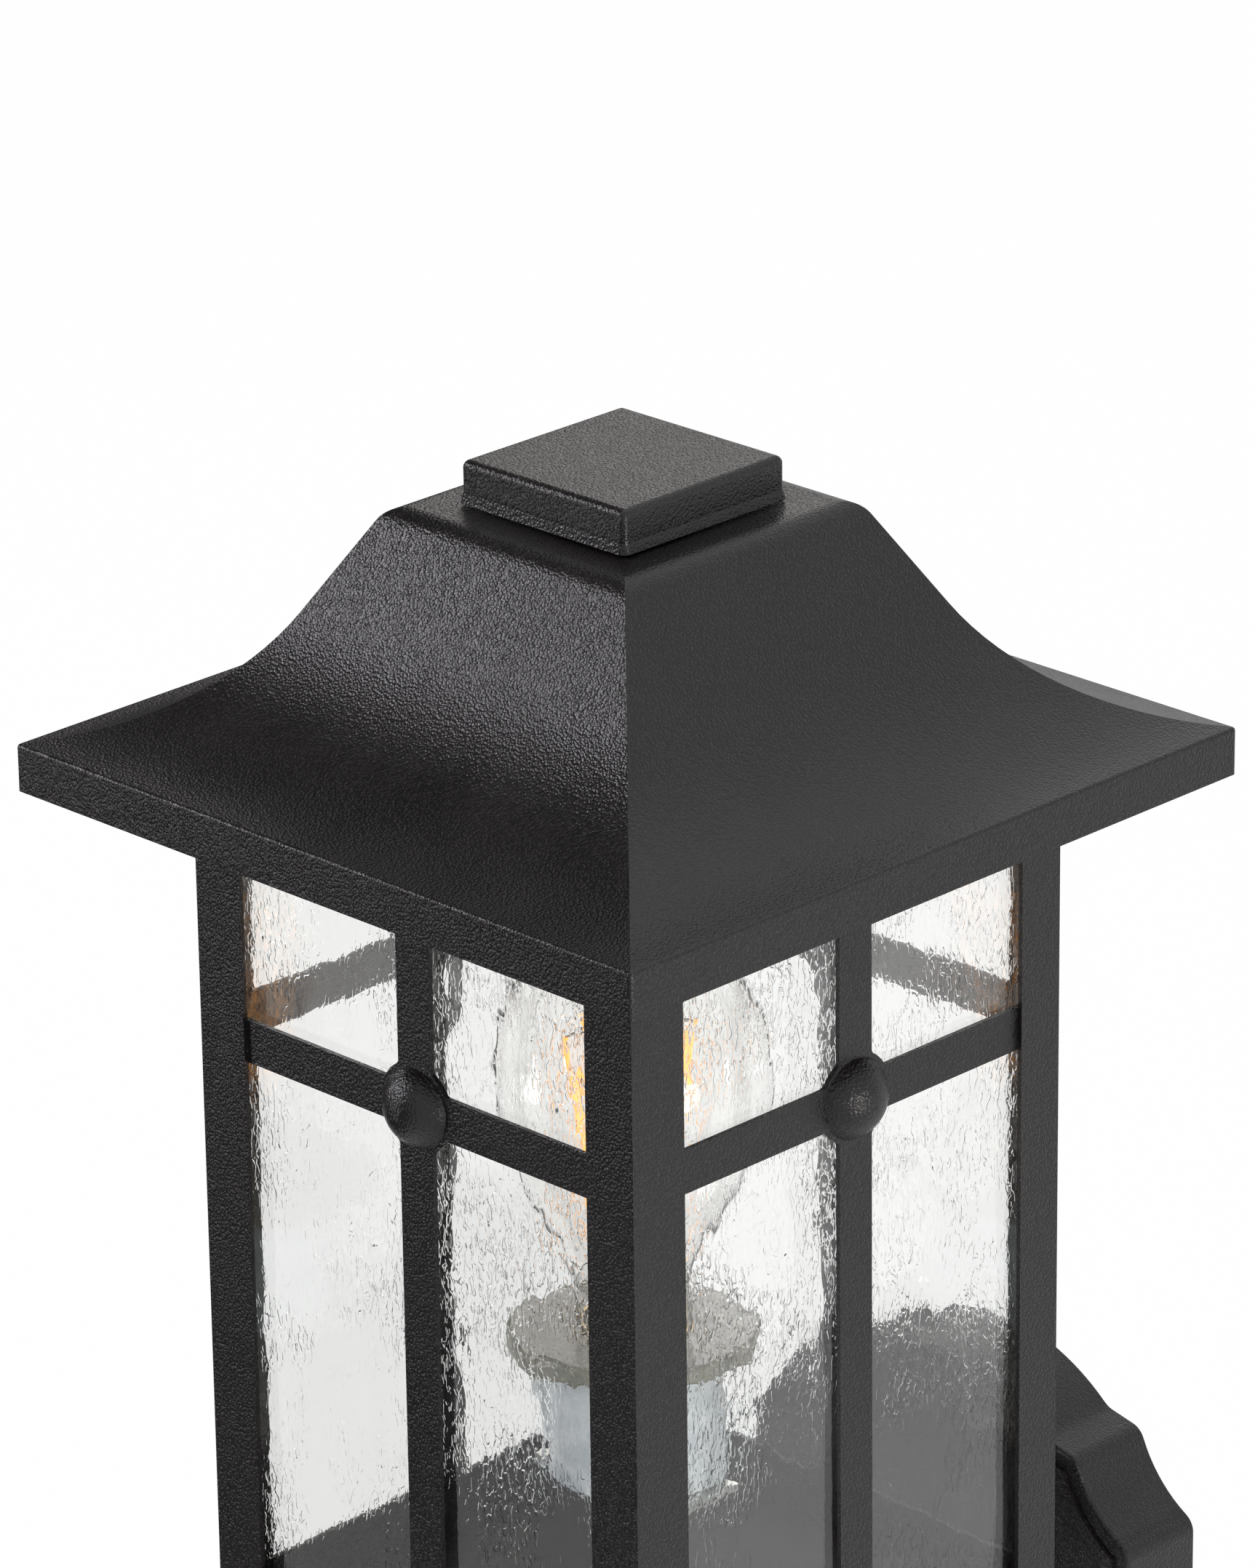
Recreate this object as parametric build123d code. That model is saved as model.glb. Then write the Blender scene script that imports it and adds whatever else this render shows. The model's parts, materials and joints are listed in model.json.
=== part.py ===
from build123d import *
import math
import os

# Outdoor wall lamp: a square lantern with a pagoda roof on a wall plate, millimetres.
# The wall is the plane y = 0, the lamp stands out towards -y, and z is up.
# The origin is the middle of the wall strap's bolt pattern.

# Clearances
thread_gap = 0.05        # radial room between a screw, rod or tube and its hole
air_gap = 0.3            # room between parts that must not rub
wire_room = 0.4          # room between a lead and the tube that holds it
overcut = 1.0            # how far a cutting shape runs past the face it cuts

# Lantern cage
eave_overhang = 28.75    # from the cage out to the roof's edge
cage_height = 236.0      # from the underside of the floor flanges to the top of the cage
cage_rise = 19.0         # how far the cage reaches up inside the roof
sheet = 1.2
post_leg = 14.8
side_window_shift = 1.7  # the side windows sit this much nearer the wall
top_rail_height = 14.0
bottom_rail_height = 13.0
flange_width = 14.0
glass_thickness = 3.0
glass_edge_gap = 4.0     # from the top of the cage down to the glass

# Cross with its domed boss on each face
bar_width = 10.8
crossing_drop = 60.0     # from the roof's lower edge down to the crossing
boss_pad_radius = 11.2
dome_radius = 10.0
dome_height = 6.4
bar_fillet = 1.6
side_cross_shift = 2.7   # the side crosses sit this much nearer the wall

# Spring clips that hold the glass
clip_width = 9.0
clip_sheet = 0.7
clip_lip = 6.0
clip_spread = 34.0

# Floor
floor_thickness = 1.5
floor_lip = 7.0
weep_hole_radius = 2.0
weep_hole_inset = 14.0
base_block_width = 60.0
base_block_drop = 10.0   # how far the block stands out below the cage
base_block_edge = 2.6

# Pagoda roof, by the half width and the height of its outer face
roof_width = 200.0
roof_band = 11.6
roof_wall = 2.5
plateau_height = 68.8
eave_slope = 7.5         # degrees, just inside the band
roof_slope = 60.25       # degrees, on the straight upper face
eave_sweep_radius = 64.0
plateau_edge_radius = 6.5
band_edge_radius = 0.9
rest_width = 12.0        # the blocks inside the roof that rest on the cage's rails
rest_inset = 2.4
rest_offset = 36.0
rest_seat = 0.8          # how far a rest reaches into the roof's wall
rod_hole_room = 0.5      # the roof can be shifted by this much on its rod before the cap is tight

# Square cap on the roof
cap_width = 52.4
cap_height = 10.5
cap_edge_radius = 1.8
cap_corner_radius = 1.4
cap_foot = 0.7           # the foot flares out by this much
cap_foot_height = 2.6
cap_foot_land = 0.1      # the upright edge under the flare
cap_seal_thickness = 0.6
cap_seal_outer = 15.0
cap_seal_inner = 6.5
cap_skin = 2.8
insert_radius = 5.0
insert_crown = 1.0       # the closed end over the insert's thread

# Rod and bridge that hold the roof down
rod_radius = 3.0
rod_tail = 8.0           # below the bridge
rod_end_gap = 0.6
rod_end_chamfer = 0.6
rod_nut_width = 10.0
rod_nut_height = 5.0
bridge_width = 20.0
bridge_thickness = 2.0
bridge_end_room = 5.25   # from the bridge's end to the cage's outer face
bridge_screw_inset = 6.0
small_screw_radius = 1.75
small_head_radius = 3.2
small_head_height = 2.0
small_screw_length = 7.0
screw_slot_width = 0.8
head_rounding = 0.6      # share of a screw head's height

# Lampholder
holder_rim_drop = 138.6  # from the roof's lower edge down to the rim
holder_rim_radius = 28.5
holder_rim_height = 5.0
holder_body_radius = 21.0
holder_body_height = 38.0
holder_bore_radius = 14.0
holder_bore_depth = 27.5
holder_recess_radius = 12.0
holder_recess_depth = 8.0
holder_foot_rounding = 2.0
holder_rim_rounding = 1.6
shell_wall = 0.5
shell_foot_gap = 2.5     # from the bore's floor up to the shell
shell_rim_gap = 1.0      # from the shell up to the rim
contact_sheet = 0.8
contact_foot_length = 16.0
contact_foot_width = 6.0
contact_radius = 3.0
bracket_length = 46.0
bracket_width = 20.0
bracket_thickness = 2.0
holder_screw_radius = 1.5
holder_screw_spacing = 35.0
holder_screw_length = 9.0
holder_head_radius = 2.8
holder_head_height = 1.8

# Bulb
bulb_radius = 32.0
bulb_neck_radius = 13.2
bulb_glass_height = 115.0
bulb_glass_wall = 0.8
bulb_neck_height = 12.0
bulb_belly_share = 0.52  # how far up the glass it is widest
bulb_shoulder_share = 0.86
bulb_shoulder_width = 0.72
bulb_neck_lean = 0.35    # sideways run of the glass for each millimetre up, over the neck
bulb_thread_radius = 13.1
bulb_thread_depth = 0.8
bulb_thread_pitch = 3.63
bulb_crest_radius = 1.2
bulb_first_crest = 2.4   # from the cap's foot up to its first crest
bulb_plain_height = 5.0  # of the cap, with no crests
bulb_cap_wall = 0.6
bulb_cap_height = 21.0
bulb_cap_floor = 1.0
bulb_collar_height = 2.0
bulb_insulator_height = 3.6
bulb_insulator_step = 0.4
bulb_contact_radius = 4.6
bulb_contact_height = 1.4
bulb_seat_gap = 1.0      # from the holder's rim up to the top of the bulb's cap
stem_radius = 5.0
stem_height = 22.0
stem_foot_flare = 3.0
stem_foot_height = 8.0
stem_neck_height = 10.0
stem_tip_radius = 1.6
filament_radius = 0.9
filament_count = 6
filament_height = 56.0
filament_foot_radius = 7.0
filament_head_radius = 13.0
filament_start = 20.0    # from the top of the bulb's cap up to the filaments
support_wire_radius = 0.35
mast_radius = 0.56
mast_seat = 1.0          # how far the mast reaches into the stem
mast_past_wires = 1.0
wire_rise = 2.0          # how much higher a wire starts on the mast than it ends on its filament

# Threaded tubes, nuts and leads
tube_radius = 5.0
tube_bore_radius = 3.7
tube_engagement = 9.0
tube_nut_width = 14.0
tube_nut_height = 3.6
tube_end_sink = 0.6      # how far the upper tube's end lies below its last nut's face
wall_tube_past_nut = 2.0
lead_radius = 1.2

# Arm
arm_width = 18.0
arm_corner_radius = 1.5
arm_bend_radius = 35.0
arm_bore_radius = 5.05
arm_rise = 44.0          # from the arm's level centre line up to its top
escutcheon_width = 46.0
escutcheon_thickness = 6.0
escutcheon_bevel = 3.0

# Wall plate
reach = 130.0            # from the wall to the lantern's axis
plate_height = 180.0
plate_depth = 24.5
plate_wall = 1.5
plate_edge_radius = 1.2
panel_inset = 4.5
panel_step = 1.0
arch_radius = 54.4
arch_side_inset = 28.4
arch_end_radius = 6.0
shoulder_inset = 17.5
shoulder_drop = 16.5
shoulder_radius = 5.0
scoop_radius = 33.5
side_corner_drop = 36.3
side_corner_radius = 4.8
gasket_width = 3.0
gasket_thickness = 5.0

# Strap, studs and their nuts
strap_length = 118.0
strap_end_room = 6.0     # from the strap's end out to the plate's side
strap_width = 20.0
strap_corner_radius = 2.0
strap_thickness = 2.0
strap_middle_hole = 6.0
box_screw_spacing = 83.3
box_slot_length = 12.0
box_slot_width = 5.2
stud_end_inset = 6.0     # from the strap's end to the stud
stud_radius = 2.0
stud_nut_width = 7.0
stud_nut_height = 3.0
washer_radius = 4.6
washer_thickness = 0.8
washer_gap = 0.2
cap_nut_width = 8.0
cap_nut_hex = 4.0
cap_nut_dome_radius = 3.7
stud_past_plate = 6.0
ground_screw_offset = 24.0

# Twist-on connectors
connector_radius = 5.0
connector_tip_radius = 3.4
connector_length = 19.0
connector_bore = 3.2
connector_bore_depth = 8.0
connector_start = 24.0
connector_height = 17.0
connector_from_wall = 10.0

# The leads' turns behind the plate, measured from the middle of the tube
lead_drop_height = 1.5
lead_turn_offset = 10.0
lead_turn_share = 0.55   # of the connector's height
lead_level_offset = 18.0
lead_turn_radii = [3.4, 6.0, 6.0]
earth_straight = 7.0     # along the strap, from the screw's middle
earth_turn_offset = 12.5
earth_turn_share = 0.5   # of the connector's height
earth_turn_depth = 0.7   # of the connector's distance from the wall
earth_level_offset = 16.0
earth_turn_radii = [2.6, 3.4, 4.0]

# Heights worked out from the sizes above, measured from the roof's lower edge
cage_half = roof_width / 2 - eave_overhang
cage_top = cage_rise
cage_bottom = cage_rise - cage_height
layer_outer = cage_half - sheet
layer_inner = cage_half - 2 * sheet
glass_inner = layer_inner - glass_thickness
glass_top = cage_top - glass_edge_gap
flange_top = cage_bottom + sheet
floor_half = glass_inner - air_gap
floor_top = flange_top + floor_thickness
crossing_height = -crossing_drop
bridge_bottom = cage_top
bridge_top = bridge_bottom + bridge_thickness
bridge_half = cage_half - bridge_end_room
bridge_screw_offset = bridge_half - bridge_screw_inset
cap_bottom = plateau_height + cap_seal_thickness
cap_top = cap_bottom + cap_height
insert_top = cap_top - cap_skin
holder_rim = -holder_rim_drop
holder_bottom = holder_rim - holder_body_height
holder_floor = holder_rim - holder_bore_depth
recess_top = holder_bottom + holder_recess_depth
bracket_top = holder_bottom
bracket_bottom = bracket_top - bracket_thickness
bulb_cap_top = holder_rim + bulb_seat_gap
bulb_cap_bottom = bulb_cap_top - bulb_cap_height
bulb_contact_top = bulb_cap_bottom - bulb_insulator_height
bulb_contact_bottom = bulb_contact_top - bulb_contact_height
block_bottom = cage_bottom - base_block_drop

# Sizes and heights measured from the wall plate's middle
plate_half_width = strap_length / 2 + strap_end_room
plate_half_height = plate_height / 2
stud_offset = strap_length / 2 - stud_end_inset
roof_edge_height = arm_rise - block_bottom
plate_front = -plate_depth
panel_front = plate_front - panel_step
panel_back = panel_front + plate_wall
wall_tube_back = panel_back + tube_nut_height + wall_tube_past_nut

lantern_place = Pos(0, -reach, roof_edge_height)


def write(name, shape):
    """Writes one sub-part to its STEP file."""
    shape.label = name
    export_step(shape, f"parts/{name}.step")


def write_on_lantern(name, shape):
    """Writes a sub-part that was drawn about the lantern's axis, at the roof's lower edge."""
    write(name, lantern_place * shape)


def slab(x, y, z):
    """A box from its low and high sides along each axis."""
    middle = [(side[0] + side[1]) / 2 for side in (x, y, z)]
    size = [abs(side[1] - side[0]) for side in (x, y, z)]
    return Pos(*middle) * Box(*size)


def upright_bar(radius, bottom, top, x=0.0, y=0.0):
    """A round bar along z."""
    return Pos(x, y, (bottom + top) / 2) * Cylinder(radius, top - bottom)


def level_bar(radius, back, front, x=0.0, z=0.0):
    """A round bar along y, from its side at the wall to its front."""
    return Pos(x, (back + front) / 2, z) * Rot(90, 0, 0) * Cylinder(radius, abs(back - front))


def hexagon(width, height):
    """A hexagonal prism along z that stands on z = 0, by its width across the flats."""
    across_corners = width / math.cos(math.radians(30))
    return extrude(RegularPolygon(across_corners / 2, 6), height)


def nut(width, height, bolt_radius):
    """A hexagonal nut that stands on z = 0."""
    return hexagon(width, height) - upright_bar(bolt_radius + thread_gap, -overcut, height + overcut)


def ring_of(shape, count):
    """Copies of a shape, turned about the z axis."""
    return [Rot(0, 0, step * 360 / count) * shape for step in range(count)]


def group(shapes):
    """Separate solids that share one node."""
    return Compound(children=[solid for shape in shapes for solid in shape.solids()])


# Cage

def corner_post(side_leg):
    """One folded angle, at the corner -x, -y, by the width of its leg on the side face."""
    height = (cage_bottom, cage_top)
    outer = slab((-cage_half, -cage_half + post_leg), (-cage_half, -cage_half + side_leg), height)
    inner_side = (-cage_half + sheet, cage_half)
    inner = slab(inner_side, inner_side, (cage_bottom - overcut, cage_top + overcut))
    return outer - inner


def corner_posts():
    """The four posts: the legs on the sides are wide at the front and narrow at the back."""
    front = corner_post(post_leg + side_window_shift)
    back = mirror(corner_post(post_leg - side_window_shift), Plane.XZ)
    return {
        "front_left": front,
        "front_right": mirror(front, Plane.YZ),
        "back_right": mirror(back, Plane.YZ),
        "back_left": back,
    }


def rail(wall_heights, flange_heights, wall_half, flange_half):
    """A folded rail on the face at -y: its upright wall and its flange towards the inside."""
    wall = slab((-wall_half, wall_half), (-layer_outer, -layer_inner), wall_heights)
    flange_y = (-layer_outer, -layer_outer + flange_width)
    flange = slab((-flange_half, flange_half), flange_y, flange_heights)
    return wall + flange


def rails(wall_heights, flange_heights):
    """The four rails of one level, each with the name of its face."""
    long_rail = rail(wall_heights, flange_heights, layer_outer, layer_inner)
    short_rail = rail(wall_heights, flange_heights, layer_inner, layer_outer - flange_width)
    return {
        "front": long_rail,
        "right": Rot(0, 0, 90) * short_rail,
        "back": Rot(0, 0, 180) * long_rail,
        "left": Rot(0, 0, 270) * short_rail,
    }


def grille_cross(shift):
    """The stamped cross on the face at -y, with its domed boss, and room to be moved sideways."""
    bottom = cage_bottom + bottom_rail_height
    top = cage_top - top_rail_height
    upright = Pos(0, (bottom + top) / 2) * Rectangle(bar_width, top - bottom)
    level = Pos(0, crossing_height) * Rectangle(2 * (layer_inner - air_gap - shift), bar_width)
    pad = Pos(0, crossing_height) * Circle(boss_pad_radius)
    outline = upright + level + pad
    reach_of_corner = boss_pad_radius + bar_fillet
    inner_corners = [
        corner for corner in outline.vertices()
        if abs((Vector(corner) - Vector(0, crossing_height)).length - boss_pad_radius) < 0.01
        and abs(corner.X) < reach_of_corner
    ]
    outline = fillet(inner_corners, bar_fillet)
    sheet_part = extrude(outline, sheet)
    ball_radius = (dome_radius ** 2 + dome_height ** 2) / (2 * dome_height)
    ball_centre = sheet + dome_height - ball_radius
    front_space = Pos(0, crossing_height, sheet + dome_height / 2) * Cylinder(ball_radius, dome_height)
    dome = Pos(0, crossing_height, ball_centre) * Sphere(ball_radius) & front_space
    hollow = Pos(0, crossing_height, ball_centre) * Sphere(ball_radius - sheet)
    hollow = hollow & (Pos(0, crossing_height, dome_height) * Cylinder(dome_radius, 2 * dome_height))
    boss = sheet_part + dome - hollow
    return Pos(0, -layer_inner, 0) * Rot(90, 0, 0) * boss


def grille_crosses():
    """The cross of each face; those on the sides sit a little nearer the wall."""
    shifts = (0.0, side_cross_shift, 0.0, -side_cross_shift)
    shifted = [Pos(shift, 0, 0) * grille_cross(abs(shift)) for shift in shifts]
    return [Rot(0, 0, 90 * turn) * cross for turn, cross in enumerate(shifted)]


def glass_pane(half_width):
    """One pane behind the face at -y, standing on the floor flange."""
    return slab((-half_width, half_width), (-layer_inner, -glass_inner), (flange_top, glass_top))


def glass_clip():
    """A spring tab on the top rail that reaches over the glass on the face at -y."""
    foot_z = (glass_top + air_gap, glass_top + glass_edge_gap - sheet)
    foot = slab((-clip_width / 2, clip_width / 2), (-layer_inner, -layer_inner + clip_sheet), foot_z)
    step_z = (glass_top + air_gap, glass_top + air_gap + clip_sheet)
    lip_y = (-glass_inner, -glass_inner + clip_sheet)
    step = slab((-clip_width / 2, clip_width / 2), (-layer_inner, lip_y[1]), step_z)
    lip = slab((-clip_width / 2, clip_width / 2), lip_y, (glass_top - clip_lip, step_z[1]))
    return foot + step + lip


def glass_clips():
    """Two clips on every face."""
    pair = [Pos(side * clip_spread, 0, 0) * glass_clip() for side in (-1, 1)]
    return group([Rot(0, 0, turn) * clip for clip in pair for turn in (0, 90, 180, 270)])


def base_pan():
    """The floor: a tray on the flanges whose lips keep the foot of the glass in place."""
    side = (-floor_half, floor_half)
    tray = slab(side, side, (flange_top, floor_top + floor_lip))
    inner = (-floor_half + floor_thickness, floor_half - floor_thickness)
    tray -= slab(inner, inner, (floor_top, floor_top + floor_lip + overcut))
    low, high = flange_top - overcut, floor_top + overcut
    tray -= upright_bar(tube_radius + thread_gap, low, high)
    corner = floor_half - weep_hole_inset
    weep_hole = upright_bar(weep_hole_radius, low, high, corner, corner)
    for hole in ring_of(weep_hole, 4):
        tray -= hole
    return tray


def base_block():
    """The square block under the floor, rounded at its lower edges."""
    half = base_block_width / 2
    block = slab((-half, half), (-half, half), (block_bottom, flange_top))
    block = fillet(block.edges().group_by(Axis.Z)[0], base_block_edge)
    return block - upright_bar(tube_radius + thread_gap, block_bottom - overcut, flange_top + overcut)


# Roof

def roof_half_section(inset, edge_radius):
    """Half the roof's section, straight across the middle, moved in from the outer face by inset."""
    half = roof_width / 2
    start_angle = math.radians(eave_slope)
    end_angle = math.radians(roof_slope)
    centre_x = half + eave_sweep_radius * math.sin(start_angle)
    centre_y = roof_band + eave_sweep_radius * math.cos(start_angle)
    radius = eave_sweep_radius + inset

    def on_sweep(angle):
        return centre_x - radius * math.sin(angle), centre_y - radius * math.cos(angle)

    outer_x = half - inset
    first_angle = math.asin((centre_x - outer_x) / radius)
    sweep_start = on_sweep(first_angle)
    sweep_middle = on_sweep((first_angle + end_angle) / 2)
    sweep_end = on_sweep(end_angle)
    top = plateau_height - inset
    top_x = sweep_end[0] - (top - sweep_end[1]) / math.tan(end_angle)
    bottom = 0.0 if inset == 0 else -overcut
    face = make_face([
        Line((0, bottom), (outer_x, bottom)),
        Line((outer_x, bottom), sweep_start),
        ThreePointArc(sweep_start, sweep_middle, sweep_end),
        Line(sweep_end, (top_x, top)),
        Line((top_x, top), (0, top)),
        Line((0, top), (0, bottom)),
    ])
    corner = face.vertices().sort_by_distance((top_x, top, 0))[0]
    return fillet(corner, edge_radius)


def roof_side(inset, edge_radius):
    """The roof's section on the side at +x, drawn out along y."""
    upright = Rot(90, 0, 0) * roof_half_section(inset, edge_radius)
    return extrude(upright, roof_width, both=True)


def roof_form(inset, edge_radius):
    """The solid of the roof's outline: four equal sides, each cut to a quarter, so the hips are true."""
    far = roof_width
    quarter_plan = make_face(Polyline((0, 0), (far, -far), (far, far), close=True))
    quarter_space = extrude(Pos(0, 0, -2 * overcut) * quarter_plan, plateau_height + 4 * overcut)
    quarters = ring_of(roof_side(inset, edge_radius) & quarter_space, 4)
    return quarters[0].fuse(*quarters[1:])


def band_edges(body):
    """The roof band's upright corner edges and its long upper edges."""
    half = roof_width / 2
    found = []
    for edge in body.edges():
        middle = edge.center()
        on_side = abs(max(abs(middle.X), abs(middle.Y)) - half) < 0.01
        is_upright = abs(abs(middle.X) - half) < 0.01 and abs(abs(middle.Y) - half) < 0.01
        is_upper = on_side and edge.length > half and middle.Z > roof_band / 2
        if is_upright or is_upper:
            found.append(edge)
    return found


def roof():
    """The cast roof: its shell, the rod's hole, and the rests that sit on the cage."""
    outer = roof_form(0.0, plateau_edge_radius)
    outer = fillet(band_edges(outer), band_edge_radius)
    inner = roof_form(roof_wall, plateau_edge_radius - roof_wall)
    shell = outer - inner
    hole_bottom = plateau_height - roof_wall - overcut
    shell -= upright_bar(rod_radius + rod_hole_room, hole_bottom, plateau_height + overcut)
    under_side = roof_side(roof_wall - rest_seat, plateau_edge_radius)
    rest_x = (cage_half - rest_inset - rest_width, cage_half - rest_inset)
    rest_y = (rest_offset - rest_width / 2, rest_offset + rest_width / 2)
    rest = slab(rest_x, rest_y, (cage_top, plateau_height)) & under_side
    pair = [rest, mirror(rest, Plane.XZ)]
    for turn in (0, 90, 180, 270):
        for copy in pair:
            shell += Rot(0, 0, turn) * copy
    return shell


def roof_cap():
    """The square block on the roof, with a small foot and a pocket for its insert."""
    half = cap_width / 2
    block = slab((-half, half), (-half, half), (cap_bottom, cap_top))
    block = fillet(block.edges().filter_by(Axis.Z), cap_corner_radius)
    block = fillet(block.edges().group_by(Axis.Z)[-1], cap_edge_radius)
    foot_width = cap_width + 2 * cap_foot
    foot = RectangleRounded(foot_width, foot_width, cap_corner_radius + cap_foot)
    foot = extrude(Pos(0, 0, cap_bottom) * foot, cap_foot_height)
    upper_edges = foot.edges().group_by(Axis.Z)[-1]
    foot = chamfer(upper_edges, cap_foot_height - cap_foot_land, cap_foot - cap_foot_land)
    pocket = upright_bar(insert_radius + thread_gap, cap_bottom - overcut, insert_top)
    return block + foot - pocket


def cap_insert():
    """The threaded bush in the cap."""
    bush = upright_bar(insert_radius, cap_bottom, insert_top)
    return bush - upright_bar(rod_radius + thread_gap, cap_bottom - overcut, insert_top - insert_crown)


def cap_seal():
    """The rubber ring under the cap."""
    seal = upright_bar(cap_seal_outer, plateau_height, cap_bottom)
    return seal - upright_bar(cap_seal_inner, plateau_height - overcut, cap_bottom + overcut)


def roof_bridge():
    """The bar across the cage that carries the rod."""
    side_y = (-bridge_width / 2, bridge_width / 2)
    bar = slab((-bridge_half, bridge_half), side_y, (bridge_bottom, bridge_top))
    low, high = bridge_bottom - overcut, bridge_top + overcut
    bar -= upright_bar(rod_radius + thread_gap, low, high)
    for side in (-1, 1):
        bar -= upright_bar(small_screw_radius + thread_gap, low, high, side * bridge_screw_offset)
    return bar


def pan_screw(radius, head_radius, head_height, length):
    """A screw with its head on z = 0 and its shank downwards."""
    head = upright_bar(head_radius, 0, head_height)
    head = fillet(head.edges().group_by(Axis.Z)[-1], head_height * head_rounding)
    slot_y = (-screw_slot_width / 2, screw_slot_width / 2)
    slot = slab((-head_radius, head_radius), slot_y, (head_height / 2, head_height + overcut))
    return head + upright_bar(radius, -length, 0) - slot


def bridge_screws():
    """The two screws that hold the bridge on the side rails."""
    screw = pan_screw(small_screw_radius, small_head_radius, small_head_height, small_screw_length)
    return group([Pos(side * bridge_screw_offset, 0, bridge_top) * screw for side in (-1, 1)])


def bridge_screw_hole(side):
    """The hole in a side rail's flange for one bridge screw."""
    low, high = cage_top - sheet - overcut, cage_top + overcut
    return upright_bar(small_screw_radius + thread_gap, low, high, side * bridge_screw_offset)


def roof_rod():
    """The threaded rod from the bridge up into the cap."""
    rod = upright_bar(rod_radius, bridge_bottom - rod_tail, insert_top - insert_crown - rod_end_gap)
    return chamfer(rod.edges().group_by(Axis.Z)[-1], rod_end_chamfer)


def rod_nuts():
    """The nuts on the rod, under and over the bridge."""
    one = nut(rod_nut_width, rod_nut_height, rod_radius)
    return group([Pos(0, 0, bridge_bottom - rod_nut_height) * one, Pos(0, 0, bridge_top) * one])


# Lampholder and bulb

def lampholder():
    """The porcelain body with its wide rim, the bore for the bulb and the recess below."""
    body = upright_bar(holder_body_radius, holder_bottom, holder_rim)
    body = fillet(body.edges().group_by(Axis.Z)[0], holder_foot_rounding)
    rim = upright_bar(holder_rim_radius, holder_rim - holder_rim_height, holder_rim)
    rim = fillet(rim.edges().filter_by(GeomType.CIRCLE), holder_rim_rounding)
    body = body + rim
    body -= upright_bar(holder_bore_radius, holder_floor, holder_rim + overcut)
    body -= upright_bar(holder_recess_radius, holder_bottom - overcut, recess_top)
    hole_radius = holder_screw_radius + thread_gap
    hole_top = holder_bottom + holder_screw_length
    for side in (-1, 1):
        at_x = side * holder_screw_spacing / 2
        body -= upright_bar(hole_radius, holder_bottom - overcut, hole_top, at_x)
    return body


def lampholder_shell():
    """The brass screw shell in the bore."""
    radius = holder_bore_radius - thread_gap
    shell = upright_bar(radius, holder_floor + shell_foot_gap, holder_rim - shell_rim_gap)
    return shell - upright_bar(radius - shell_wall, holder_floor, holder_rim + overcut)


def lampholder_contact():
    """The spring contact on the floor of the bore."""
    foot_x = (-contact_foot_length / 2, contact_foot_length / 2)
    foot_y = (-contact_foot_width / 2, contact_foot_width / 2)
    foot = slab(foot_x, foot_y, (holder_floor, holder_floor + contact_sheet))
    tongue = upright_bar(contact_radius, holder_floor, bulb_contact_bottom - air_gap)
    return foot + tongue


def holder_bracket():
    """The steel bar that the lampholder is screwed to."""
    half = bracket_length / 2
    bar = slab((-half, half), (-bracket_width / 2, bracket_width / 2), (bracket_bottom, bracket_top))
    low, high = bracket_bottom - overcut, bracket_top + overcut
    bar -= upright_bar(tube_radius + thread_gap, low, high)
    for side in (-1, 1):
        at_x = side * holder_screw_spacing / 2
        bar -= upright_bar(holder_screw_radius + thread_gap, low, high, at_x)
    return bar


def holder_screws():
    """The two screws up into the lampholder."""
    length = holder_screw_length + bracket_thickness - air_gap
    screw = pan_screw(holder_screw_radius, holder_head_radius, holder_head_height, length)
    place = Pos(holder_screw_spacing / 2, 0, bracket_bottom) * Rot(180, 0, 0)
    return group([place * screw, mirror(place * screw, Plane.YZ)])


def bulb_outline(inset):
    """Half the bulb's section, from the neck up to the tip, moved in by inset."""
    neck = bulb_neck_radius - inset
    belly = bulb_radius - inset
    tip = bulb_glass_height - inset
    neck_top = bulb_neck_height
    belly_height = bulb_glass_height * bulb_belly_share
    shoulder_height = bulb_glass_height * bulb_shoulder_share - inset * math.sqrt(0.5)
    shoulder = (belly * bulb_shoulder_width, shoulder_height)
    curve = Spline((neck, neck_top), (belly, belly_height), shoulder, (0, tip),
                   tangents=[(bulb_neck_lean, 1), (-1, 0)])
    edges = [Line((0, 0), (neck, 0)), Line((neck, 0), (neck, neck_top)), curve, Line((0, tip), (0, 0))]
    return make_face(edges)


def bulb_body(inset):
    """The bulb's form, turned from its half section."""
    return revolve(Rot(90, 0, 0) * bulb_outline(inset), Axis.Z)


def bulb_glass():
    """The clear envelope, open at the neck."""
    mouth = upright_bar(bulb_neck_radius - bulb_glass_wall, -overcut, overcut)
    inner = bulb_body(bulb_glass_wall) + mouth
    return Pos(0, 0, bulb_cap_top) * (bulb_body(0.0) - inner)


def bulb_cap():
    """The screw cap, with the crests of its thread drawn as rings."""
    root = bulb_thread_radius - bulb_thread_depth
    cap = upright_bar(root, bulb_cap_bottom, bulb_cap_top)
    crests = int((bulb_cap_height - bulb_plain_height) / bulb_thread_pitch)
    for step in range(crests):
        height = bulb_cap_bottom + bulb_first_crest + step * bulb_thread_pitch
        cap += Pos(0, 0, height) * Torus(bulb_thread_radius - bulb_crest_radius, bulb_crest_radius)
    cap += upright_bar(bulb_thread_radius, bulb_cap_top - bulb_collar_height, bulb_cap_top)
    cap -= upright_bar(root - bulb_cap_wall, bulb_cap_bottom + bulb_cap_floor, bulb_cap_top + overcut)
    return cap


def bulb_insulator():
    """The black glass cone between the cap and its contact."""
    lower = bulb_contact_radius + bulb_insulator_step
    upper = bulb_thread_radius - bulb_thread_depth - bulb_insulator_step
    middle = bulb_cap_bottom - bulb_insulator_height / 2
    return Pos(0, 0, middle) * Cone(lower, upper, bulb_insulator_height)


def bulb_contact():
    """The end contact of the cap."""
    return upright_bar(bulb_contact_radius, bulb_contact_bottom, bulb_contact_top)


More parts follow.
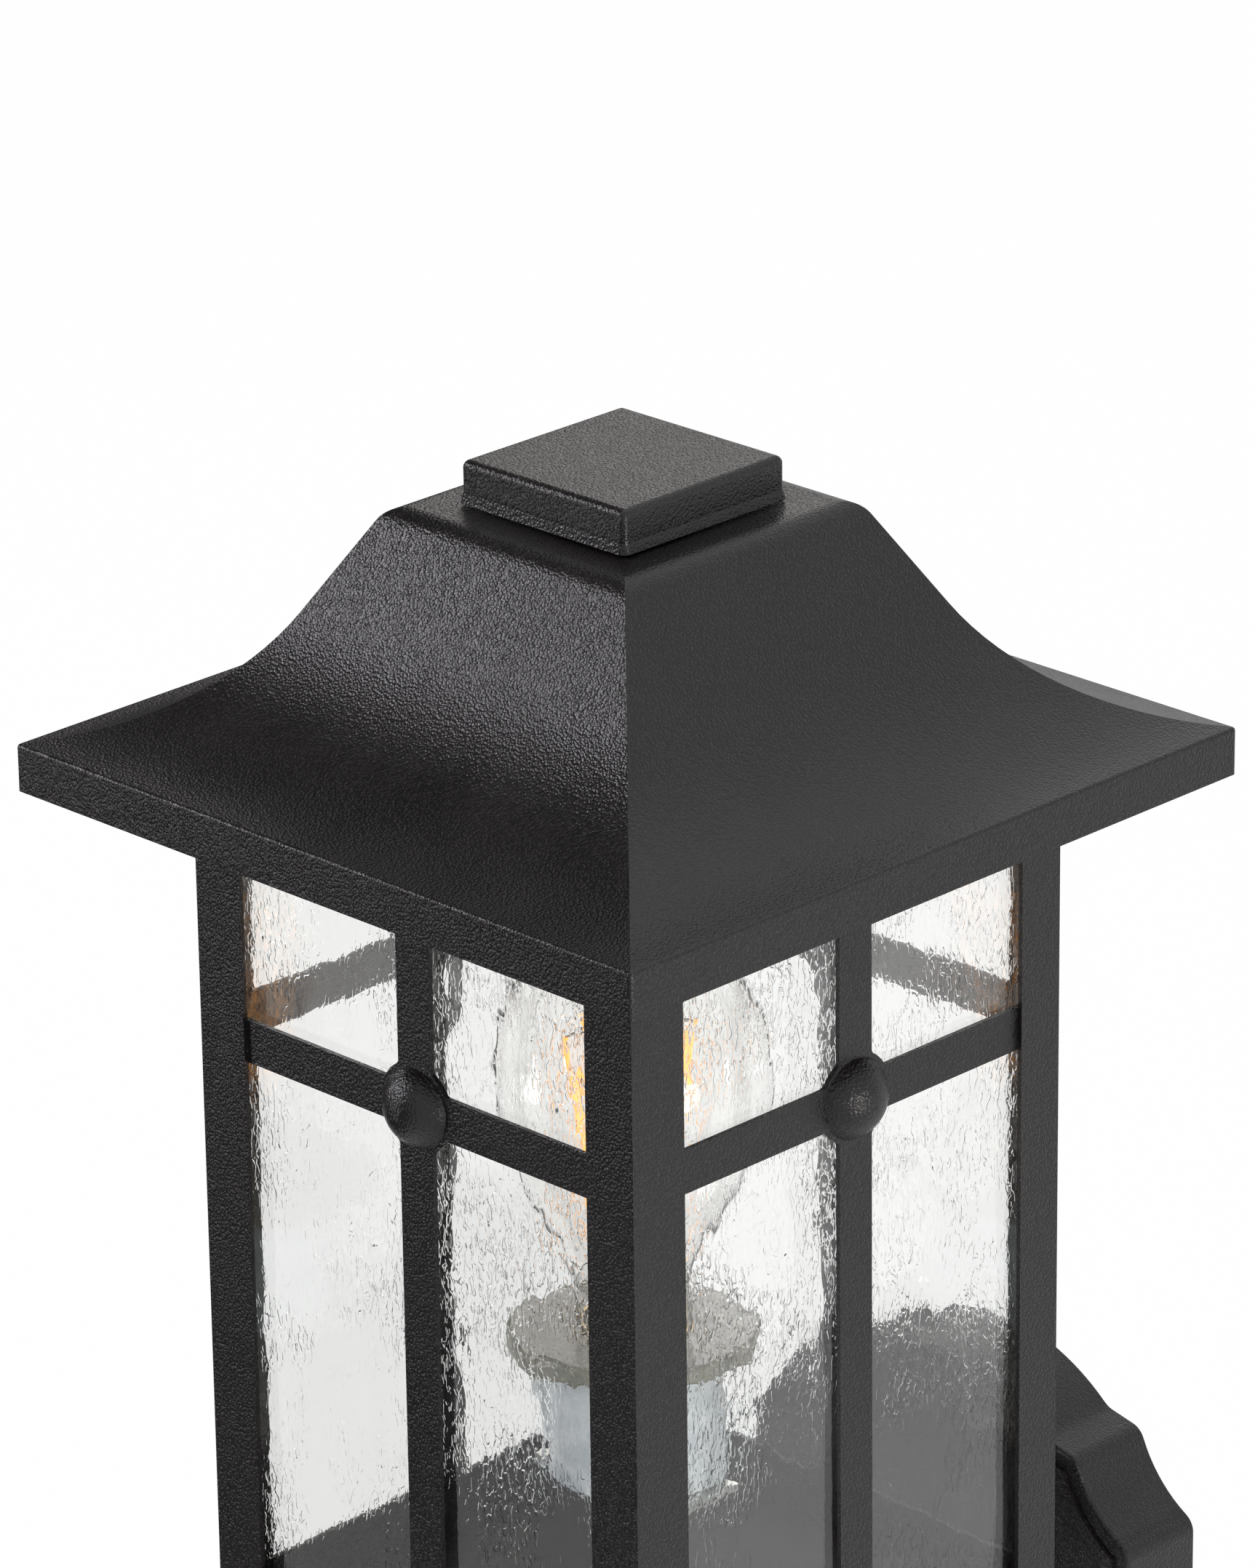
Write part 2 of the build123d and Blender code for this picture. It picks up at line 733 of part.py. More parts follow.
def bulb_stem():
    """The glass stem that carries the filaments, standing on the floor of the cap."""
    start = bulb_cap_bottom + bulb_cap_floor
    top = bulb_cap_top + stem_height
    foot_cone = Cone(stem_radius + stem_foot_flare, stem_radius, stem_foot_height)
    foot = Pos(0, 0, start + stem_foot_height / 2) * foot_cone
    stem = upright_bar(stem_radius, start + stem_foot_height, top - stem_neck_height)
    neck = Pos(0, 0, top - stem_neck_height / 2) * Cone(stem_radius, stem_tip_radius, stem_neck_height)
    return foot + stem + neck


def filament_ends(step):
    """The foot and head of one filament."""
    turn = 2 * math.pi * step / filament_count
    foot_z = bulb_cap_top + filament_start
    foot = Vector(filament_foot_radius * math.cos(turn), filament_foot_radius * math.sin(turn), foot_z)
    head_z = foot_z + filament_height
    head = Vector(filament_head_radius * math.cos(turn), filament_head_radius * math.sin(turn), head_z)
    return foot, head


def straight_rod(start, end, radius):
    """A round rod between two points."""
    direction = end - start
    plane = Plane(origin=start, z_dir=direction)
    return extrude(plane * Circle(radius), direction.length)


def bulb_filaments():
    """The glowing rods, leaning outwards."""
    return group([straight_rod(*filament_ends(step), filament_radius) for step in range(filament_count)])


def filament_wires():
    """The mast out of the stem, and the wires from it to the foot and head of each filament."""
    foot_z = bulb_cap_top + filament_start
    head_z = foot_z + filament_height
    mast_bottom = bulb_cap_top + stem_height - mast_seat
    wires = upright_bar(mast_radius, mast_bottom, head_z + wire_rise + mast_past_wires)
    for step in range(filament_count):
        foot, head = filament_ends(step)
        wires += straight_rod(Vector(0, 0, head_z + wire_rise), head, support_wire_radius)
        wires += straight_rod(Vector(0, 0, foot_z + wire_rise), foot, support_wire_radius)
    return wires


# Threaded tubes and their nuts

def lantern_tube():
    """The threaded tube from the arm up through the floor to the lampholder's bracket."""
    bottom = block_bottom - tube_engagement
    top = bracket_top + tube_nut_height - tube_end_sink
    tube = upright_bar(tube_radius, bottom, top)
    return tube - upright_bar(tube_bore_radius, bottom - overcut, top + overcut)


def tube_nuts():
    """The nuts on the two tubes: on the floor, under and over the bracket, and behind the plate."""
    one = nut(tube_nut_width, tube_nut_height, tube_radius)
    heights = (floor_top, bracket_bottom - tube_nut_height, bracket_top)
    upright = [lantern_place * Pos(0, 0, height) * one for height in heights]
    return group([*upright, Pos(0, panel_back, 0) * Rot(-90, 0, 0) * one])


def wall_tube():
    """The threaded tube that joins the arm to the plate."""
    front = panel_front - tube_engagement
    tube = level_bar(tube_radius, wall_tube_back, front)
    return tube - level_bar(tube_bore_radius, wall_tube_back + overcut, front - overcut)


# Arm

def arm_route(back, top, offset_x=0.0):
    """The arm's centre line, from the plate forwards and up to the lantern."""
    bend_start = -reach + arm_bend_radius
    level = Line((offset_x, back, 0), (offset_x, bend_start, 0))
    middle = arm_bend_radius * (1 - math.sqrt(0.5))
    bend = ThreePointArc((offset_x, bend_start, 0),
                         (offset_x, -reach + middle, middle),
                         (offset_x, -reach, arm_bend_radius))
    rise = Line((offset_x, -reach, arm_bend_radius), (offset_x, -reach, top))
    return level, bend, rise


def swept(section_at_start, route):
    """A section swept along a smooth route."""
    return sweep(section_at_start, path=Wire(route))


def arm():
    """The square arm with its round bore."""
    start = Plane(origin=(0, panel_front, 0), x_dir=(1, 0, 0), z_dir=(0, -1, 0))
    outer = start * RectangleRounded(arm_width, arm_width, arm_corner_radius)
    solid = swept(outer, arm_route(panel_front, arm_rise))
    bore_back = panel_front + overcut
    bore_start = Plane(origin=(0, bore_back, 0), x_dir=(1, 0, 0), z_dir=(0, -1, 0))
    bore = swept(bore_start * Circle(arm_bore_radius), arm_route(bore_back, arm_rise + overcut))
    return solid - bore


def arm_escutcheon():
    """The square cover round the arm where it meets the plate."""
    front = panel_front - escutcheon_thickness
    half = escutcheon_width / 2
    cover = slab((-half, half), (panel_front, front), (-half, half))
    cover = chamfer(cover.faces().sort_by(Axis.Y)[0].edges(), escutcheon_bevel)
    hole = arm_width / 2 + thread_gap
    return cover - slab((-hole, hole), (panel_front + overcut, front - overcut), (-hole, hole))


# Wall plate

def corners_at(face, x, y):
    """The corners of a flat face that lie at x and y, on either side of both axes."""
    return [corner for corner in face.vertices()
            if abs(abs(corner.X) - x) < 0.01 and abs(abs(corner.Y) - y) < 0.01]


def plate_outline():
    """The plate's shaped outline: an arched middle, a shoulder and a scooped corner, at each end."""
    arch_x = plate_half_width - arch_side_inset
    arch_drop = arch_radius - math.sqrt(arch_radius ** 2 - arch_x ** 2)
    arch_end = (arch_x, plate_half_height - arch_drop)
    shoulder = (plate_half_width - shoulder_inset, plate_half_height - shoulder_drop)
    side_end = (plate_half_width, plate_half_height - side_corner_drop)
    quarter = [
        Line(arch_end, shoulder),
        RadiusArc(shoulder, side_end, -scoop_radius),
        Line(side_end, (plate_half_width, 0)),
    ]
    right = quarter + [mirror(edge, Plane.XZ) for edge in quarter]
    left = [mirror(edge, Plane.YZ) for edge in right]
    arch = ThreePointArc((-arch_x, arch_end[1]), (0, plate_half_height), arch_end)
    face = make_face(right + left + [arch, mirror(arch, Plane.XZ)])
    face = fillet(corners_at(face, *shoulder), shoulder_radius)
    face = fillet(corners_at(face, *side_end), side_corner_radius)
    return fillet(corners_at(face, *arch_end), arch_end_radius)


def stand_up(shape):
    """Turns a shape drawn flat on x and y, with its height along z, to face out from the wall."""
    return Rot(90, 0, 0) * shape


def backplate():
    """The wall plate: a pan with a raised middle panel and its holes."""
    outline = plate_outline()
    pan = extrude(outline, plate_depth)
    pan = fillet(pan.edges().group_by(Axis.Z)[-1], plate_edge_radius)
    panel = offset(outline, -panel_inset, kind=Kind.INTERSECTION)
    pan += extrude(Pos(0, 0, plate_depth - plate_wall) * panel, plate_wall + panel_step)
    hollow = offset(outline, -plate_wall, kind=Kind.INTERSECTION)
    pan -= extrude(Pos(0, 0, -overcut) * hollow, overcut + plate_depth - plate_wall)
    panel_hollow = offset(outline, -panel_inset - plate_wall, kind=Kind.INTERSECTION)
    pan -= extrude(Pos(0, 0, -overcut) * panel_hollow, overcut + plate_depth + panel_step - plate_wall)
    through = plate_depth + panel_step + overcut
    pan -= upright_bar(tube_radius + thread_gap, 0, through)
    for side in (-1, 1):
        pan -= upright_bar(stud_radius + air_gap, 0, through, side * stud_offset)
    return stand_up(pan)


def backplate_gasket():
    """The foam strip inside the rim, flush with the wall."""
    outline = plate_outline()
    outer = offset(outline, -plate_wall - thread_gap, kind=Kind.INTERSECTION)
    inner = offset(outline, -plate_wall - gasket_width, kind=Kind.INTERSECTION)
    return stand_up(extrude(outer - inner, gasket_thickness))


# Strap, studs, nuts and connectors

def mounting_strap():
    """The slotted steel strap on the wall box."""
    outline = RectangleRounded(strap_length, strap_width, strap_corner_radius)
    strap = extrude(outline, strap_thickness)
    low, high = -overcut, strap_thickness + overcut
    slot = SlotOverall(box_slot_length, box_slot_width)
    for side in (-1, 1):
        strap -= extrude(Pos(side * box_screw_spacing / 2, 0, low) * slot, high - low)
        strap -= upright_bar(stud_radius + thread_gap, low, high, side * stud_offset)
    strap -= upright_bar(strap_middle_hole, low, high)
    strap -= upright_bar(small_screw_radius + thread_gap, low, high, ground_screw_offset)
    return stand_up(strap)


def strap_studs():
    """The two studs, flush with the back of the strap."""
    front = panel_front - washer_thickness - stud_past_plate
    return group([level_bar(stud_radius, 0, front, side * stud_offset) for side in (-1, 1)])


def stud_nuts():
    """The nuts that lock the studs on the strap."""
    one = Rot(90, 0, 0) * nut(stud_nut_width, stud_nut_height, stud_radius)
    return group([Pos(side * stud_offset, -strap_thickness, 0) * one for side in (-1, 1)])


def nut_washers():
    """The washers under the domed nuts."""
    ring = upright_bar(washer_radius, 0, washer_thickness)
    ring -= upright_bar(stud_radius + washer_gap, -overcut, washer_thickness + overcut)
    one = Rot(90, 0, 0) * ring
    return group([Pos(side * stud_offset, panel_front, 0) * one for side in (-1, 1)])


def cap_nuts():
    """The domed nuts that hold the plate on its studs."""
    dome = Pos(0, 0, cap_nut_hex) * Sphere(cap_nut_dome_radius)
    dome = dome & upright_bar(cap_nut_width, cap_nut_hex / 2, cap_nut_hex + cap_nut_dome_radius)
    body = hexagon(cap_nut_width, cap_nut_hex) + dome
    body -= upright_bar(stud_radius + thread_gap, -overcut, stud_past_plate + air_gap)
    one = Rot(90, 0, 0) * body
    at_y = panel_front - washer_thickness
    return group([Pos(side * stud_offset, at_y, 0) * one for side in (-1, 1)])


def ground_screw():
    """The earth screw in the strap."""
    screw = pan_screw(small_screw_radius, small_head_radius, small_head_height, strap_thickness)
    return Pos(ground_screw_offset, -strap_thickness, 0) * Rot(90, 0, 0) * screw


def wire_connectors():
    """The twist-on connectors in the plate's hollow, mouths towards the middle."""
    body = Rot(0, 90, 0) * Cone(connector_radius, connector_tip_radius, connector_length)
    bore = Rot(0, 90, 0) * Cylinder(connector_bore, connector_bore_depth)
    body -= Pos(-connector_length / 2 + connector_bore_depth / 2, 0, 0) * bore
    middle = connector_start + connector_length / 2
    right = Pos(middle, -connector_from_wall, connector_height) * body
    lower = Pos(middle, -connector_from_wall, -connector_height) * body
    left = mirror(right, Plane.YZ)
    return group([right, left, lower])


def lead(side):
    """One insulated lead, from the lampholder through the tube and the arm to its connector."""
    at_x = side * (tube_bore_radius - lead_radius - wire_room)
    level, bend, rise = arm_route(wall_tube_back, roof_edge_height + recess_top, at_x)
    start = Plane(origin=(at_x, wall_tube_back, 0), x_dir=(1, 0, 0), z_dir=(0, -1, 0))
    held = swept(start * Circle(lead_radius), (level, bend, rise))
    end_x = side * (connector_start + connector_bore_depth)
    y_level = -connector_from_wall
    points = [
        (at_x, wall_tube_back, 0),
        (at_x, y_level, lead_drop_height),
        (side * lead_turn_offset, y_level, connector_height * lead_turn_share),
        (side * lead_level_offset, y_level, connector_height),
        (end_x, y_level, connector_height),
    ]
    route = FilletPolyline(*points, radius=lead_turn_radii)
    turn_plane = Plane(origin=points[0], z_dir=Vector(*points[1]) - Vector(*points[0]))
    free = sweep(turn_plane * Circle(lead_radius), path=route)
    knuckle = Pos(*points[0]) * Sphere(lead_radius)
    return held + knuckle + free


def lead_earth():
    """The earth lead from the strap's screw to its connector."""
    y_level = -connector_from_wall
    strap_level = -strap_thickness - lead_radius
    end_x = connector_start + connector_bore_depth
    points = [
        (ground_screw_offset - small_head_radius, strap_level, 0),
        (ground_screw_offset - earth_straight, strap_level, 0),
        (earth_turn_offset, y_level * earth_turn_depth, -connector_height * earth_turn_share),
        (earth_level_offset, y_level, -connector_height),
        (end_x, y_level, -connector_height),
    ]
    route = FilletPolyline(*points, radius=earth_turn_radii)
    plane = Plane(origin=points[0], z_dir=Vector(*points[1]) - Vector(*points[0]))
    return sweep(plane * Circle(lead_radius), path=route)


def write_cage():
    for corner, post in corner_posts().items():
        write_on_lantern(f"corner_post_{corner}", post)
    top_rails = rails((cage_top - top_rail_height, cage_top), (cage_top - sheet, cage_top))
    top_rails["right"] -= bridge_screw_hole(1)
    top_rails["left"] -= bridge_screw_hole(-1)
    bottom_rails = rails((cage_bottom, cage_bottom + bottom_rail_height), (cage_bottom, flange_top))
    faces = ("front", "right", "back", "left")
    crosses = grille_crosses()
    for turn, face in enumerate(faces):
        write_on_lantern(f"top_rail_{face}", top_rails[face])
        write_on_lantern(f"bottom_rail_{face}", bottom_rails[face])
        write_on_lantern(f"grille_cross_{face}", crosses[turn])
        half_width = layer_inner - air_gap if turn % 2 else glass_inner - air_gap
        write_on_lantern(f"glass_pane_{face}", Rot(0, 0, 90 * turn) * glass_pane(half_width))
    write_on_lantern("glass_clips", glass_clips())
    write_on_lantern("base_pan", base_pan())
    write_on_lantern("base_block", base_block())


def write_roof():
    write_on_lantern("roof", roof())
    write_on_lantern("roof_cap", roof_cap())
    write_on_lantern("cap_insert", cap_insert())
    write_on_lantern("cap_seal", cap_seal())
    write_on_lantern("roof_bridge", roof_bridge())
    write_on_lantern("bridge_screws", bridge_screws())
    write_on_lantern("roof_rod", roof_rod())
    write_on_lantern("rod_nuts", rod_nuts())


def write_light():
    write_on_lantern("lampholder", lampholder())
    write_on_lantern("lampholder_shell", lampholder_shell())
    write_on_lantern("lampholder_contact", lampholder_contact())
    write_on_lantern("holder_bracket", holder_bracket())
    write_on_lantern("holder_screws", holder_screws())
    write_on_lantern("bulb_glass", bulb_glass())
    write_on_lantern("bulb_cap", bulb_cap())
    write_on_lantern("bulb_insulator", bulb_insulator())
    write_on_lantern("bulb_contact", bulb_contact())
    write_on_lantern("bulb_stem", bulb_stem())
    write_on_lantern("bulb_filaments", bulb_filaments())
    write_on_lantern("filament_wires", filament_wires())
    write_on_lantern("lantern_tube", lantern_tube())
    write("tube_nuts", tube_nuts())


def write_wall_side():
    write("wall_tube", wall_tube())
    write("arm", arm())
    write("arm_escutcheon", arm_escutcheon())
    write("backplate", backplate())
    write("backplate_gasket", backplate_gasket())
    write("mounting_strap", mounting_strap())
    write("strap_studs", strap_studs())
    write("stud_nuts", stud_nuts())
    write("nut_washers", nut_washers())
    write("cap_nuts", cap_nuts())
    write("ground_screw", ground_screw())
    write("wire_connectors", wire_connectors())
    write("lead_live", lead(1))
    write("lead_neutral", lead(-1))
    write("lead_earth", lead_earth())


os.makedirs("parts", exist_ok=True)
write_cage()
write_roof()
write_light()
write_wall_side()
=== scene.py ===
import json
import math

import bmesh
import bpy
from mathutils import Matrix, Vector, noise


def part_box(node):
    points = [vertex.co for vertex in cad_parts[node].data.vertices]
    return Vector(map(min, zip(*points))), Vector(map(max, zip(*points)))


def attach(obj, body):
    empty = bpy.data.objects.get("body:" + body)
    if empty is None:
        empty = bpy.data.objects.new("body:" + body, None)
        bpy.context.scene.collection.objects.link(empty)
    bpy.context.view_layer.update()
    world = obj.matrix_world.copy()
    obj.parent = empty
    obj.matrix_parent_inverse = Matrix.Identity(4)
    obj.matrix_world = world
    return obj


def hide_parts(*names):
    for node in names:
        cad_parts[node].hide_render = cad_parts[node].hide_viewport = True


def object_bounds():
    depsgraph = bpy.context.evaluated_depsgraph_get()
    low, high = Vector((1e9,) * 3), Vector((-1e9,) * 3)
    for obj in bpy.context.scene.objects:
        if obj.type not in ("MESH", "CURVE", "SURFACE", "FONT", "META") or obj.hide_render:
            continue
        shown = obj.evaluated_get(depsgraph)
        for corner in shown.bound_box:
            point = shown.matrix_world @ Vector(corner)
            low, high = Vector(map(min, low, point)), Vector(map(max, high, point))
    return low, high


# Looks of the outdoor wall lamp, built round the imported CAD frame. Everything is in metres.

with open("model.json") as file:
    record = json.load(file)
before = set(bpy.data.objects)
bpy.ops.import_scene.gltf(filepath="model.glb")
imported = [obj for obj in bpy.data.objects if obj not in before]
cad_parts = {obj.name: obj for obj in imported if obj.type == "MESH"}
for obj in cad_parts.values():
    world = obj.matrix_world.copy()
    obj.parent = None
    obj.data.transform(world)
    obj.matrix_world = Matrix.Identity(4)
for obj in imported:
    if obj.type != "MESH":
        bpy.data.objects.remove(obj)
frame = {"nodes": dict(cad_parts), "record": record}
cad_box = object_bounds()

# Camera, solved from the photograph
image_height = 2156
sensor_size = 36.0
focal_pixels = 10917.89
camera_turn = math.radians(44.91)
camera_tip = math.radians(21.61)
camera_roll = math.radians(-0.76)
camera_distance = 1.84423
camera_aim = Vector((0.00008, -0.12992, 0.27056))
far_clip = 20.0

# Light
background_white = 1.0
ambient_strength = 0.52  # of the plain light that falls on the lamp
dark_side_white = 0.05   # what gloss sees of the studio on its unlit left side
dark_side_axis = (-0.95, -0.31, 0.0)
dark_side_starts = 0.34  # along that axis: as a cosine in the world, in metres on the floor
dark_side_full = 0.54
floor_drop = 0.22        # below the lowest point of the lamp
floor_size = 8.0
floor_grey = 0.86
floor_white_share = 0.985
lantern_middle = Vector((0.0, -0.13, 0.22))

# Name, place from the lantern's middle, width, height, power and tint of each lamp
lamps = (
    ("left_low", (-1.32, -1.34, -0.36), 0.50, 0.35, 3.8, (0.98, 0.96, 1.0)),
    ("right_soft", (1.9, -0.05, -0.20), 0.45, 0.45, 14.0, (1.0, 0.98, 0.95)),
    ("left_side", (-1.80, -0.85, 0.45), 0.40, 0.40, 8.0, (0.98, 0.96, 1.0)),
    ("back_left", (-1.40, 1.40, 0.79), 0.6, 0.5, 1.6, (1.0, 0.94, 0.90)),
    ("left_key", (-1.52, -1.30, 0.84), 0.62, 0.62, 15.0, (0.98, 0.95, 1.0)),
    ("top_fill", (0.2, 0.2, 1.9), 1.2, 1.2, 4.0, (1.0, 1.0, 1.0)),
)

# Coat. The scales of noise and grain are in cells a metre, here and below.
painted_glint_gain = 3.0         # of the coat's colour, painted on the peaks of its grain as glints
coat_gloss = 0.37
floor_gloss = 0.07       # on the lantern's inside floor
floor_roughening = 0.25
coat_mottle_scale = 22.0
dust_scale = 45.0
dust_roughening = 0.3
dust_colour = (0.30, 0.28, 0.26)

# Water glass
ripple_cell = 0.0016     # spacing of the mesh over each pane
wave_height = 0.00022
wave_length = 0.016
swirl_height = 0.00009
swirl_length = 0.0055
first_seed = 3.0         # of the waves on the front pane
seed_step = 11.0         # from one pane to the next
far_side_seed = 31.0     # added on a pane's far side
dimple_scale = 760.0
broad_scale = 150.0
broad_share = 1.1        # of the broad waves, for 1 of the dimples
patch_scale = 38.0       # of the places where the dimples are strong
dimple_stretch = (1.0, 1.0, 0.42)
glass_bump = 0.000048

# Lampholder
painted_rim_height = 0.0055      # of the painted warm light and shade on the rim, from the top
painted_rim_fade = 0.0006
cloud_scale = 150.0
speck_scale = 620.0
# share of the specks painted as dark flecks on the rim
painted_fleck_share = 0.55

# Bulb
filament_glow = 1.25

# Threads and connectors
turn_corners = 32        # round a thread, and round a connector
rows_a_thread = 6        # along each turn of a thread
rod_pitch = 0.001
tube_pitch = 0.001
stud_pitch = 0.0007
cap_pitch = 0.00363
thread_depth_share = 0.6  # of the pitch
tube_bore = 0.0037       # radius
crease_angle = math.radians(35)
cap_thread_depth = 0.0011
cap_wall = 0.0004
cap_collar = 0.0022
cap_foot_taper = 0.0026
cap_end_taper = 0.7      # of the pitch
connector_ribs = 12
connector_rib_depth = 0.09
connector_corners = 2 * turn_corners
connector_steps = 8      # along the ribbed cone

nodes = frame["nodes"]


# Shader helpers

class Shader:
    """Adds nodes to one node tree and links them as they are made."""

    def __init__(self, tree):
        self.tree = tree

    def add(self, kind, inputs=None, **settings):
        """A node of this kind, with its settings, and its inputs set to values or linked."""
        made = self.tree.nodes.new(kind)
        for name, value in settings.items():
            setattr(made, name, value)
        for name, value in (inputs or {}).items():
            self.feed(made.inputs[name], value)
        return made

    def feed(self, socket, value):
        """Sets a socket, or links it where the value is another socket."""
        if isinstance(value, bpy.types.NodeSocket):
            self.tree.links.new(value, socket)
        else:
            socket.default_value = value

    def math(self, operation, first, second=0.0, third=0.0):
        """The result of one sum."""
        made = self.add("ShaderNodeMath", {0: first, 1: second, 2: third}, operation=operation)
        return made.outputs["Value"]

    def noise(self, vector, scale, detail=2.0, roughness=0.5, distortion=0.0):
        """Noise between 0 and 1."""
        inputs = {"Vector": vector, "Scale": scale, "Detail": detail, "Roughness": roughness,
                  "Distortion": distortion}
        return self.add("ShaderNodeTexNoise", inputs).outputs["Fac"]

    def step(self, value, low, high, to_low=0.0, to_high=1.0):
        """A value mapped smoothly from one range to another."""
        inputs = {"Value": value, "From Min": low, "From Max": high}
        inputs.update({"To Min": to_low, "To Max": to_high})
        made = self.add("ShaderNodeMapRange", inputs, interpolation_type="SMOOTHSTEP")
        return made.outputs["Result"]

    def blend(self, factor, first, second):
        """A colour between two others."""
        made = self.add("ShaderNodeMix", data_type="RGBA")
        self.feed(made.inputs["Factor"], factor)
        for name, value in (("A", first), ("B", second)):
            socket = [s for s in made.inputs if s.name == name and s.type == "RGBA"][0]
            self.feed(socket, value)
        return [s for s in made.outputs if s.type == "RGBA"][0]

    def white_for(self, path, direction):
        """How white the studio looks along a direction: gloss sees its left side unlit."""
        inputs = {0: direction, 1: dark_side_axis}
        along = self.add("ShaderNodeVectorMath", inputs, operation="DOT_PRODUCT").outputs["Value"]
        not_through = self.math("SUBTRACT", 1.0, path.outputs["Is Transmission Ray"])
        mirrored = self.math("MULTIPLY", path.outputs["Is Glossy Ray"], not_through)
        side = self.step(along, dark_side_starts, dark_side_full)
        unlit = self.math("MULTIPLY", mirrored, side)
        return self.math("MULTIPLY_ADD", unlit, dark_side_white - background_white, background_white)

    def seen_rays(self, path):
        """1 for what the camera sees, straight, mirrored or through glass."""
        seen = self.math("MAXIMUM", path.outputs["Is Camera Ray"], path.outputs["Is Glossy Ray"])
        return self.math("MAXIMUM", seen, path.outputs["Is Transmission Ray"])

    def upward(self):
        """The part of the surface's normal that points up."""
        normal = self.add("ShaderNodeNewGeometry").outputs["Normal"]
        return self.add("ShaderNodeSeparateXYZ", {"Vector": normal}).outputs["Z"]

    def height_of(self, place):
        """How high a place is."""
        return self.add("ShaderNodeSeparateXYZ", {"Vector": place}).outputs["Z"]

    def stretch(self, vector, scale):
        """A vector scaled along each axis."""
        inputs = {"Vector": vector, "Scale": scale}
        return self.add("ShaderNodeMapping", inputs).outputs["Vector"]

    def object_place(self):
        """The place on the object, in metres, which moves with it."""
        return self.add("ShaderNodeTexCoord").outputs["Object"]

    def bump(self, height, distance):
        """A normal tilted by a height."""
        inputs = {"Height": height, "Distance": distance}
        return self.add("ShaderNodeBump", inputs).outputs["Normal"]


def colour(red, green, blue):
    return (red, green, blue, 1.0)


def new_group(name, inputs, outputs):
    """An empty shader group with named inputs and outputs, and its two end nodes."""
    tree = bpy.data.node_groups.new(name, "ShaderNodeTree")
    for socket_name, kind, value in inputs:
        socket = tree.interface.new_socket(name=socket_name, in_out="INPUT", socket_type=kind)
        if value is not None:
            socket.default_value = value
    for socket_name, kind in outputs:
        tree.interface.new_socket(name=socket_name, in_out="OUTPUT", socket_type=kind)
    shader = Shader(tree)
    start = shader.add("NodeGroupInput")
    end = shader.add("NodeGroupOutput")
    return tree, shader, start.outputs, end.inputs


def new_material(name, settings, base=None):
    """A material with one Principled shader. Returns it with its helper, shader node and output."""
    material = bpy.data.materials.new(name)
    material.use_nodes = True
    material.node_tree.nodes.clear()
    shader = Shader(material.node_tree)
    principled = shader.add("ShaderNodeBsdfPrincipled", settings)
    if base is not None:
        principled.inputs["Base Color"].default_value = base
    output = shader.add("ShaderNodeOutputMaterial", {"Surface": principled.outputs["BSDF"]})
    return material, shader, principled, output


# Shader groups that several finishes share

def make_grain_group():
    """Fine grain of a powder coat: a height, and a mask of the grain's peaks."""
    tree, shader, given, result = new_group(
        "coat grain",
        [("Place", "NodeSocketVector", None), ("Grain", "NodeSocketFloat", 1500.0)],
        [("Height", "NodeSocketFloat"), ("Peaks", "NodeSocketFloat")],
    )
    cells = {"Vector": given["Place"], "Scale": given["Grain"], "Randomness": 1.0}
    away = shader.add("ShaderNodeTexVoronoi", cells).outputs["Distance"]
    fine = shader.noise(given["Place"], given["Grain"], detail=1.0, roughness=0.5)
    near = shader.math("SUBTRACT", 1.0, away)
    shader.feed(result["Height"], shader.math("MULTIPLY_ADD", fine, 0.8, near))
    shader.feed(result["Peaks"], shader.step(away, 0.42, 0.16))
    return tree


def make_dust_group():
    """A thin layer of dust: more on faces that look up, and patchy."""
    tree, shader, given, result = new_group(
        "settled dust",
        [("Place", "NodeSocketVector", None), ("Amount", "NodeSocketFloat", 0.2)],
        [("Mask", "NodeSocketFloat")],
    )
    facing = shader.step(shader.upward(), 0.2, 1.0)
    cloud = shader.noise(given["Place"], dust_scale, detail=4.0, roughness=0.65)
    patches = shader.step(cloud, 0.35, 0.75)
    mask = shader.math("MULTIPLY", shader.math("MULTIPLY", facing, patches), given["Amount"])
    shader.feed(result["Mask"], mask)
    return tree


def make_mottle_group():
    """Slow changes of tone over a surface, between 0 and 1."""
    tree, shader, given, result = new_group(
        "mottle",
        [("Place", "NodeSocketVector", None), ("Scale", "NodeSocketFloat", 30.0)],
        [("Mask", "NodeSocketFloat")],
    )
    cloud = shader.noise(given["Place"], given["Scale"], detail=4.0, roughness=0.6)
    shader.feed(result["Mask"], shader.step(cloud, 0.3, 0.7))
    return tree


def make_scratch_group():
    """Hair-fine scratches on bare metal."""
    tree, shader, given, result = new_group(
        "fine scratches",
        [("Place", "NodeSocketVector", None), ("Scale", "NodeSocketFloat", 400.0)],
        [("Height", "NodeSocketFloat")],
    )
    drawn = shader.stretch(given["Place"], (1.0, 1.0, 0.06))
    shader.feed(result["Height"], shader.noise(drawn, given["Scale"], detail=3.0, roughness=0.7))
    return tree


groups = {
    "grain": make_grain_group(),
    "dust": make_dust_group(),
    "mottle": make_mottle_group(),
    "scratch": make_scratch_group(),
}


def use_group(shader, name, inputs):
    """Places a shared group in a tree."""
    made = shader.add("ShaderNodeGroup", node_tree=groups[name])
    for socket_name, value in inputs.items():
        shader.feed(made.inputs[socket_name], value)
    return made.outputs


# Finishes

def inside_floor_mask(shader, place):
    """1 on the top of the lantern's floor pan, and 0 elsewhere."""
    low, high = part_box("base_pan")
    height = shader.height_of(place)
    under = shader.step(height, high.z + 0.002, high.z + 0.001)
    over = shader.step(height, low.z - 0.001, low.z)
    level = shader.math("MULTIPLY", under, over)
    return shader.math("MULTIPLY", level, shader.step(shader.upward(), 0.8, 0.95))


